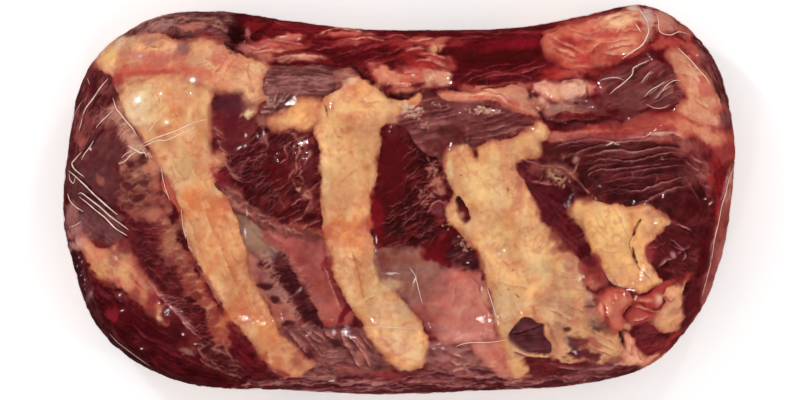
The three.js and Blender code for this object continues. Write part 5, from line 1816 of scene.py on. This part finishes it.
# Raw meat: the painted tint, broken up by two sizes of noise; fat is paler, so its grain is weaker
def meatFinish():
    f = Finish(bpy.data.materials.new('raw_meat'))
    tint = f.node('Attribute', dict(attribute_name='tint'), 'Color')
    grain = f.noise(meatLooks['grain'], 5.0, 0.65)
    speck = f.noise(meatLooks['speck'], 4.0, 0.6)
    shade = meatLooks['darkest'] + meatLooks['mottled'] * grain + meatLooks['speckled'] * speck
    colour = f.node('VectorMath', dict(operation='SCALE'), Vector=tint, Scale=shade)
    height = grain * 0.7 + speck * 0.5
    normal = f.node('Bump', None, Strength=0.55, Distance=meatLooks['bump'], Height=height)
    body = f.node('BsdfPrincipled', None, 'BSDF', Base_Color=colour, Normal=normal,
                  Roughness=(meatLooks['roughness'] + meatLooks['uneven'] * (grain - 0.5)).limited(),
                  Specular_IOR_Level=0.1, Subsurface_Weight=meatLooks['soft'],
                  Subsurface_Radius=(0.002, 0.0008, 0.0005), Subsurface_Scale=1.0)
    return f.surface(body)


filmLooks = dict(drawn=0.012, fine=0.0032, roughness=0.07, wrinkle=0.0012, strongest=0.13)


# Clear film: mirror by Fresnel over what lies under it, with fine wrinkles
def filmFinish():
    f = Finish(bpy.data.materials.new('clear_film'))
    drawn = f.noise(filmLooks['drawn'], 3.0, 0.5, (1.0, 2.6, 1.4))
    fine = f.noise(filmLooks['fine'], 3.0, 0.6)
    height = drawn * 1.4 + fine * 0.12
    normal = f.node('Bump', None, Strength=0.3, Distance=filmLooks['wrinkle'], Height=height)
    shine = f.node('Fresnel', None, 'Fac', IOR=1.45, Normal=normal)
    gloss = f.node('BsdfPrincipled', None, 'BSDF', Base_Color=(0.92, 0.9, 0.9, 1), Metallic=1.0,
                   Roughness=filmLooks['roughness'], Normal=normal)
    clear = f.node('BsdfTransparent', None, 'BSDF', Color=(1, 1, 1, 1))
    share = (shine * 0.9).math('MINIMUM', filmLooks['strongest'])
    return f.surface(f.node('MixShader', None, 'Shader', i0=share, i1=clear, i2=gloss))


# The film: a closed envelope just over the meat, which bridges the finer hollows. Its lift comes from the
# highest relief of the meat round each cell of the plan, above and below the widest line, made smooth.
film = dict(step=1.35, crowd=14, rise=0.12, deepest=-2)
cells = dict(size=1.1, left=-160, near=-100, wide=320, high=200, empty=-9.0)


# Where places of the plan lie among the cells, as numbers of cells
def cellOf(x, y):
    return (x - cells['left']) / cells['size'], (y - cells['near']) / cells['size']


highest = np.full((2, cells['wide'], cells['high']), cells['empty'])
side = (np.arange(len(places)) >= start).astype(int)
column, row = cellOf(places[:, 0], places[:, 1])
np.maximum.at(highest, (side, column.astype(int), row.astype(int)), relief)
shifts = [(i, j) for i in (-1, 0, 1) for j in (-1, 0, 1)]
lifted = np.max([np.roll(highest, shift, (1, 2)) for shift in shifts], 0)
lifted = np.where(lifted > cells['empty'], lifted, 0)
for axis in (1, 2, 1, 2):
    lifted = (np.roll(lifted, 1, axis) + 2 * lifted + np.roll(lifted, -1, axis)) / 4


# Lift of the film over places of the plan, between those cells; side is 0 above and 1 below
def liftAt(x, y, side):
    column, row = cellOf(x, y)
    column, row = column - 0.5, row - 0.5
    i, j = np.floor(column).astype(int), np.floor(row).astype(int)
    s, t = column - i, row - j
    lift = ((lifted[side, i, j] * (1 - s) + lifted[side, i + 1, j] * s) * (1 - t)
            + (lifted[side, i, j + 1] * (1 - s) + lifted[side, i + 1, j + 1] * s) * t)
    return np.clip(lift, film['deepest'], meat['highest']) + film['rise'] - meat['inset']


filmTop, filmBottom = packSkin(film['step'], film['crowd'])
filmPlaces = np.vstack([filmTop.reshape(-1, 3), filmBottom.reshape(-1, 3)])
filmFaces = skinFaces(filmTop, filmBottom)
filmSame = welded(filmPlaces)
filmQuads = fourCorners(*filmFaces)
filmSide = (np.arange(len(filmPlaces)) >= filmTop.size // 3).astype(int)
lift = liftAt(filmPlaces[:, 0], filmPlaces[:, 1], filmSide)
lift = np.where(filmSide == 1, lift * ease(0, 5, filmPlaces[:, 2]), lift)  # flat on the table
filmPlaces = filmPlaces + normalsOf(filmPlaces, filmQuads, filmSame) * lift[:, None]
filmPlaces[:, 2] = np.maximum(filmPlaces[:, 2], 0.0)
filmSkin = meshFrom('vacuum_film', filmPlaces, weldedFaces(*filmFaces, filmSame),
                    normalsOf(filmPlaces, filmQuads, filmSame))
print('film', len(filmSkin.data.vertices))

# Creases of the film: width in steps of the picture, then the path from end to end
creases = """1.5; 107,77 100,86 92,97 85,107 81,116
0.8; 81,116 79,125 77,132
1.5; 111,97 115,108 119,113 126,122 132,129 137,138
1.0; 112,110 106,116 99,122 94,128
1.1; 92,140 88,147 83,154 80,160
1.6; 80,152 73,160 71,164 74,170 83,177
1.6; 67,170 77,179 89,191 100,201 108,208 117,215
1.1; 68,173 69,180 72,183 74,177
1.5; 76,194 80,193 88,199 96,205 102,210 109,216 120,224 128,230
1.5; 77,196 88,205 95,211 104,218 108,222 115,229 127,236
1.2; 66,193 69,201 74,207 82,212
0.7; 67,228 74,225 80,221
1.3; 142,144 155,138 164,135 178,130 193,123 208,119
1.3; 142,147 156,141 167,140 178,135 190,130 197,126
0.9; 147,134 156,122 164,112
1.8; 128,146 135,150 140,153 144,153 146,158
1.1; 117,164 124,161 130,155 136,152
0.8; 120,158 126,153 131,151
0.9; 161,166 162,178 164,186 167,195 169,201
0.9; 181,208 182,220 183,229 186,240
0.6; 86,77 88,84
0.5; 72,118 77,107 82,98
1.3; 639,7 642,12 645,17 649,23
1.0; 657,11 659,20 660,29 665,33 672,34 680,31 690,34
1.5; 648,22 649,30 647,36 644,42 639,47 631,52 621,59
1.0; 634,22 638,27 641,32
1.2; 678,47 685,54 692,61 700,70 706,77 711,85
1.1; 610,94 615,89 622,84 631,75 633,68 640,64 650,60
0.7; 600,80 606,78 615,77 625,80
0.8; 641,83 646,76 651,71
0.9; 644,97 650,90 657,86 665,81
0.8; 662,92 667,85 675,80 682,80
0.6; 646,104 654,108 664,107 670,104
0.8; 364,328 380,327 400,328 421,329
0.8; 409,267 415,275 419,290 423,305
0.6; 386,273 394,272 401,274
0.9; 455,348 467,344 490,343 508,340
0.8; 487,288 491,300 497,319
1.2; 736,165 731,178 727,192 723,207 720,222 716,240 713,262
0.8; 713,262 708,280 703,298
0.6; 108,334 120,346 134,357 150,368
0.5; 300,391 340,394 390,395 440,393"""


# Place on the plan and height under a place of the picture, found in three steps
def onPack(x, y):
    z = np.full(x.shape, pack['crown'])
    for _ in range(3):
        planX = camera['centre'][0] + (x - picture['x']) * picture['step'] / nearness(z)
        planY = camera['centre'][1] + (picture['y'] - y) * picture['step'] / nearness(z)
        far, _, within = distanceTo(outline, planX, planY, True)
        z = topHeight(planX, planY, np.where(within, far, 0))
    return np.stack([planX, planY, z], -1)


# mm: half thickness of a crease to each step of its width, and how far it is sunk; it is a little flat
crease = dict(half=0.22, sunk=0.05, flat=0.8, sides=6)


# Closed raised line along a path: a ring of points round each place, drawn to a point at both ends
def creaseAlong(width, path):
    chain = curve(pairs(path), False, 8)
    middleLine = onPack(chain[:, 0], chain[:, 1])
    beside = 0.8  # steps of the picture from the line, to find which way is up
    right, front = onPack(chain[:, 0] + beside, chain[:, 1]), onPack(chain[:, 0], chain[:, 1] - beside)
    up = np.cross(right - middleLine, front - middleLine)
    up /= np.linalg.norm(up, axis=1, keepdims=True)
    along = np.gradient(middleLine, axis=0)
    aside = np.cross(up, along)
    aside /= np.linalg.norm(aside, axis=1, keepdims=True)
    share = np.linspace(0, 1, len(chain))
    uneven = 0.7 + 0.6 * rough(chain[:, 0] / 5, chain[:, 1] / 5, 9)
    wide = crease['half'] * width * np.sin(np.pi * share) ** 0.4 * uneven
    lift = liftAt(middleLine[:, 0], middleLine[:, 1], 0) - crease['sunk']
    turn = np.arange(crease['sides'])[:, None] * 2 * np.pi / crease['sides']
    ring = aside[:, None] * np.cos(turn) + crease['flat'] * up[:, None] * np.sin(turn)
    rings = (middleLine + up * lift[:, None])[:, None] + ring * wide[:, None, None]
    rings[0], rings[-1] = rings[0].mean(0), rings[-1].mean(0)
    return rings


creasePlaces, creaseQuads, creaseEnds, done = [], [], [], 0
sides = crease['sides']
k = np.arange(sides)
after = (k + 1) % sides
for line in creases.splitlines():
    width, path = line.split(';')
    rings = creaseAlong(float(width), path)
    m = sides * np.arange(1, len(rings) - 2)[:, None]
    last = sides * (len(rings) - 2)
    quads = np.stack([m + k, m + after, m + sides + after, m + sides + k], -1)
    creasePlaces.append(rings.reshape(-1, 3))
    creaseQuads.append(done + quads.reshape(-1, 4))
    creaseEnds.append(done + np.stack([0 * k, sides + after, sides + k], -1))
    creaseEnds.append(done + np.stack([0 * k + last + sides, last + k, last + after], -1))
    done += sides * len(rings)
creaseLines = meshFrom('film_creases', np.vstack(creasePlaces),
                       [np.vstack(creaseQuads), np.vstack(creaseEnds)])
print('creases', len(creaseLines.data.vertices))


# A crease of the film: milky where it is thick, and it glints
def creaseFinish():
    f = Finish(bpy.data.materials.new('film_crease'))
    along = f.noise(0.004, 2.0, 0.5)
    body = f.node('BsdfPrincipled', None, 'BSDF', Base_Color=(0.95, 0.7, 0.6, 1), Roughness=0.2,
                  Specular_IOR_Level=0.4, Alpha=(0.2 + 0.9 * along).limited())
    return f.surface(body)


for pieces, slot, material in ((sections, 'packed_meat', meatFinish()),
                               ([filmSkin], 'clear_film', filmFinish()),
                               ([creaseLines], 'clear_film', creaseFinish())):
    for piece in pieces:
        piece.data.materials.append(material)
        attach(piece, 'root')
        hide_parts('packed_entrecote')


# studio: pale floor, even soft light from all round, and small lamps that glint on the film. Lamps are
# given by place, size, power and whether they show in reflections.
studio = dict(floor=0.98, reach=6, sky=0.95, gloss=0.012, glow=0.06)
lamps = dict(key_softbox=((-0.9, 1.0, 1.5), 0.8, 2.2, False),
             fill_softbox=((1.0, -0.6, 1.4), 1.0, 1.2, False),
             glint_1=((-0.75, 0.7, 1.3), 0.14, 3.6, True), glint_2=((0.45, 0.95, 1.3), 0.1, 1.8, True),
             glint_3=((0.95, -0.45, 1.3), 0.1, 1.6, True), glint_4=((-0.3, -1.0, 1.3), 0.1, 1.4, True))


# A round area lamp in metres and watts that points at the pack
def lamp(name, at, size, power, glossy):
    data = bpy.data.lights.new(name, 'AREA')
    data.shape, data.size, data.energy = 'DISK', size, power
    item = bpy.data.objects.new(name, data)
    item.location = at
    item.rotation_euler = mathutils.Vector(-np.array(at)).to_track_quat('-Z', 'Y').to_euler()
    item.visible_glossy = glossy
    bpy.context.scene.collection.objects.link(item)


for name, values in lamps.items():
    lamp(name, *values)


# A colour from its brightness
def grey(brightness):
    return (brightness, brightness, brightness, 1)


# bright all round, but nearly dark in the film's reflections
sky = Finish(bpy.data.worlds.new('studio'))
glossy = sky.node('LightPath', output='Is Glossy Ray')
light = sky.node('Mix', dict(data_type='RGBA'), 'Result', Factor=glossy, A=grey(studio['sky']),
                 B=grey(studio['gloss']))
bpy.context.scene.world = sky.surface(sky.node('Background', output='Background', Color=light), 'World')

far = studio['reach']
floorMesh = bpy.data.meshes.new('floor')
floorMesh.from_pydata([(-far, -far, 0), (far, -far, 0), (far, far, 0), (-far, far, 0)], [], [(0, 1, 2, 3)])
floor = bpy.data.objects.new('floor', floorMesh)
bpy.context.scene.collection.objects.link(floor)
floorFinish = Finish(bpy.data.materials.new('pale_floor'))
floorMesh.materials.append(floorFinish.surface(floorFinish.node(
    'BsdfPrincipled', None, 'BSDF', Base_Color=grey(studio['floor']), Roughness=0.9,
    Specular_IOR_Level=0.1, Emission_Color=grey(1), Emission_Strength=studio['glow'])))
floor.visible_glossy = False  # so that the film doesn't look grey

viewData = bpy.data.cameras.new('photo_view')
viewData.sensor_width = camera['sensor']
viewData.lens = camera['sensor'] * (camera['height'] - camera['level']) / camera['wide']
viewData.clip_end = 20
view = bpy.data.objects.new('photo_view', viewData)
above = (np.array(camera['centre']) - middle) / 1000
view.location = (above[0], above[1], camera['height'])
bpy.context.scene.collection.objects.link(view)
bpy.context.scene.camera = view
bpy.context.scene.view_settings.view_transform = 'Standard'

print('studio set')
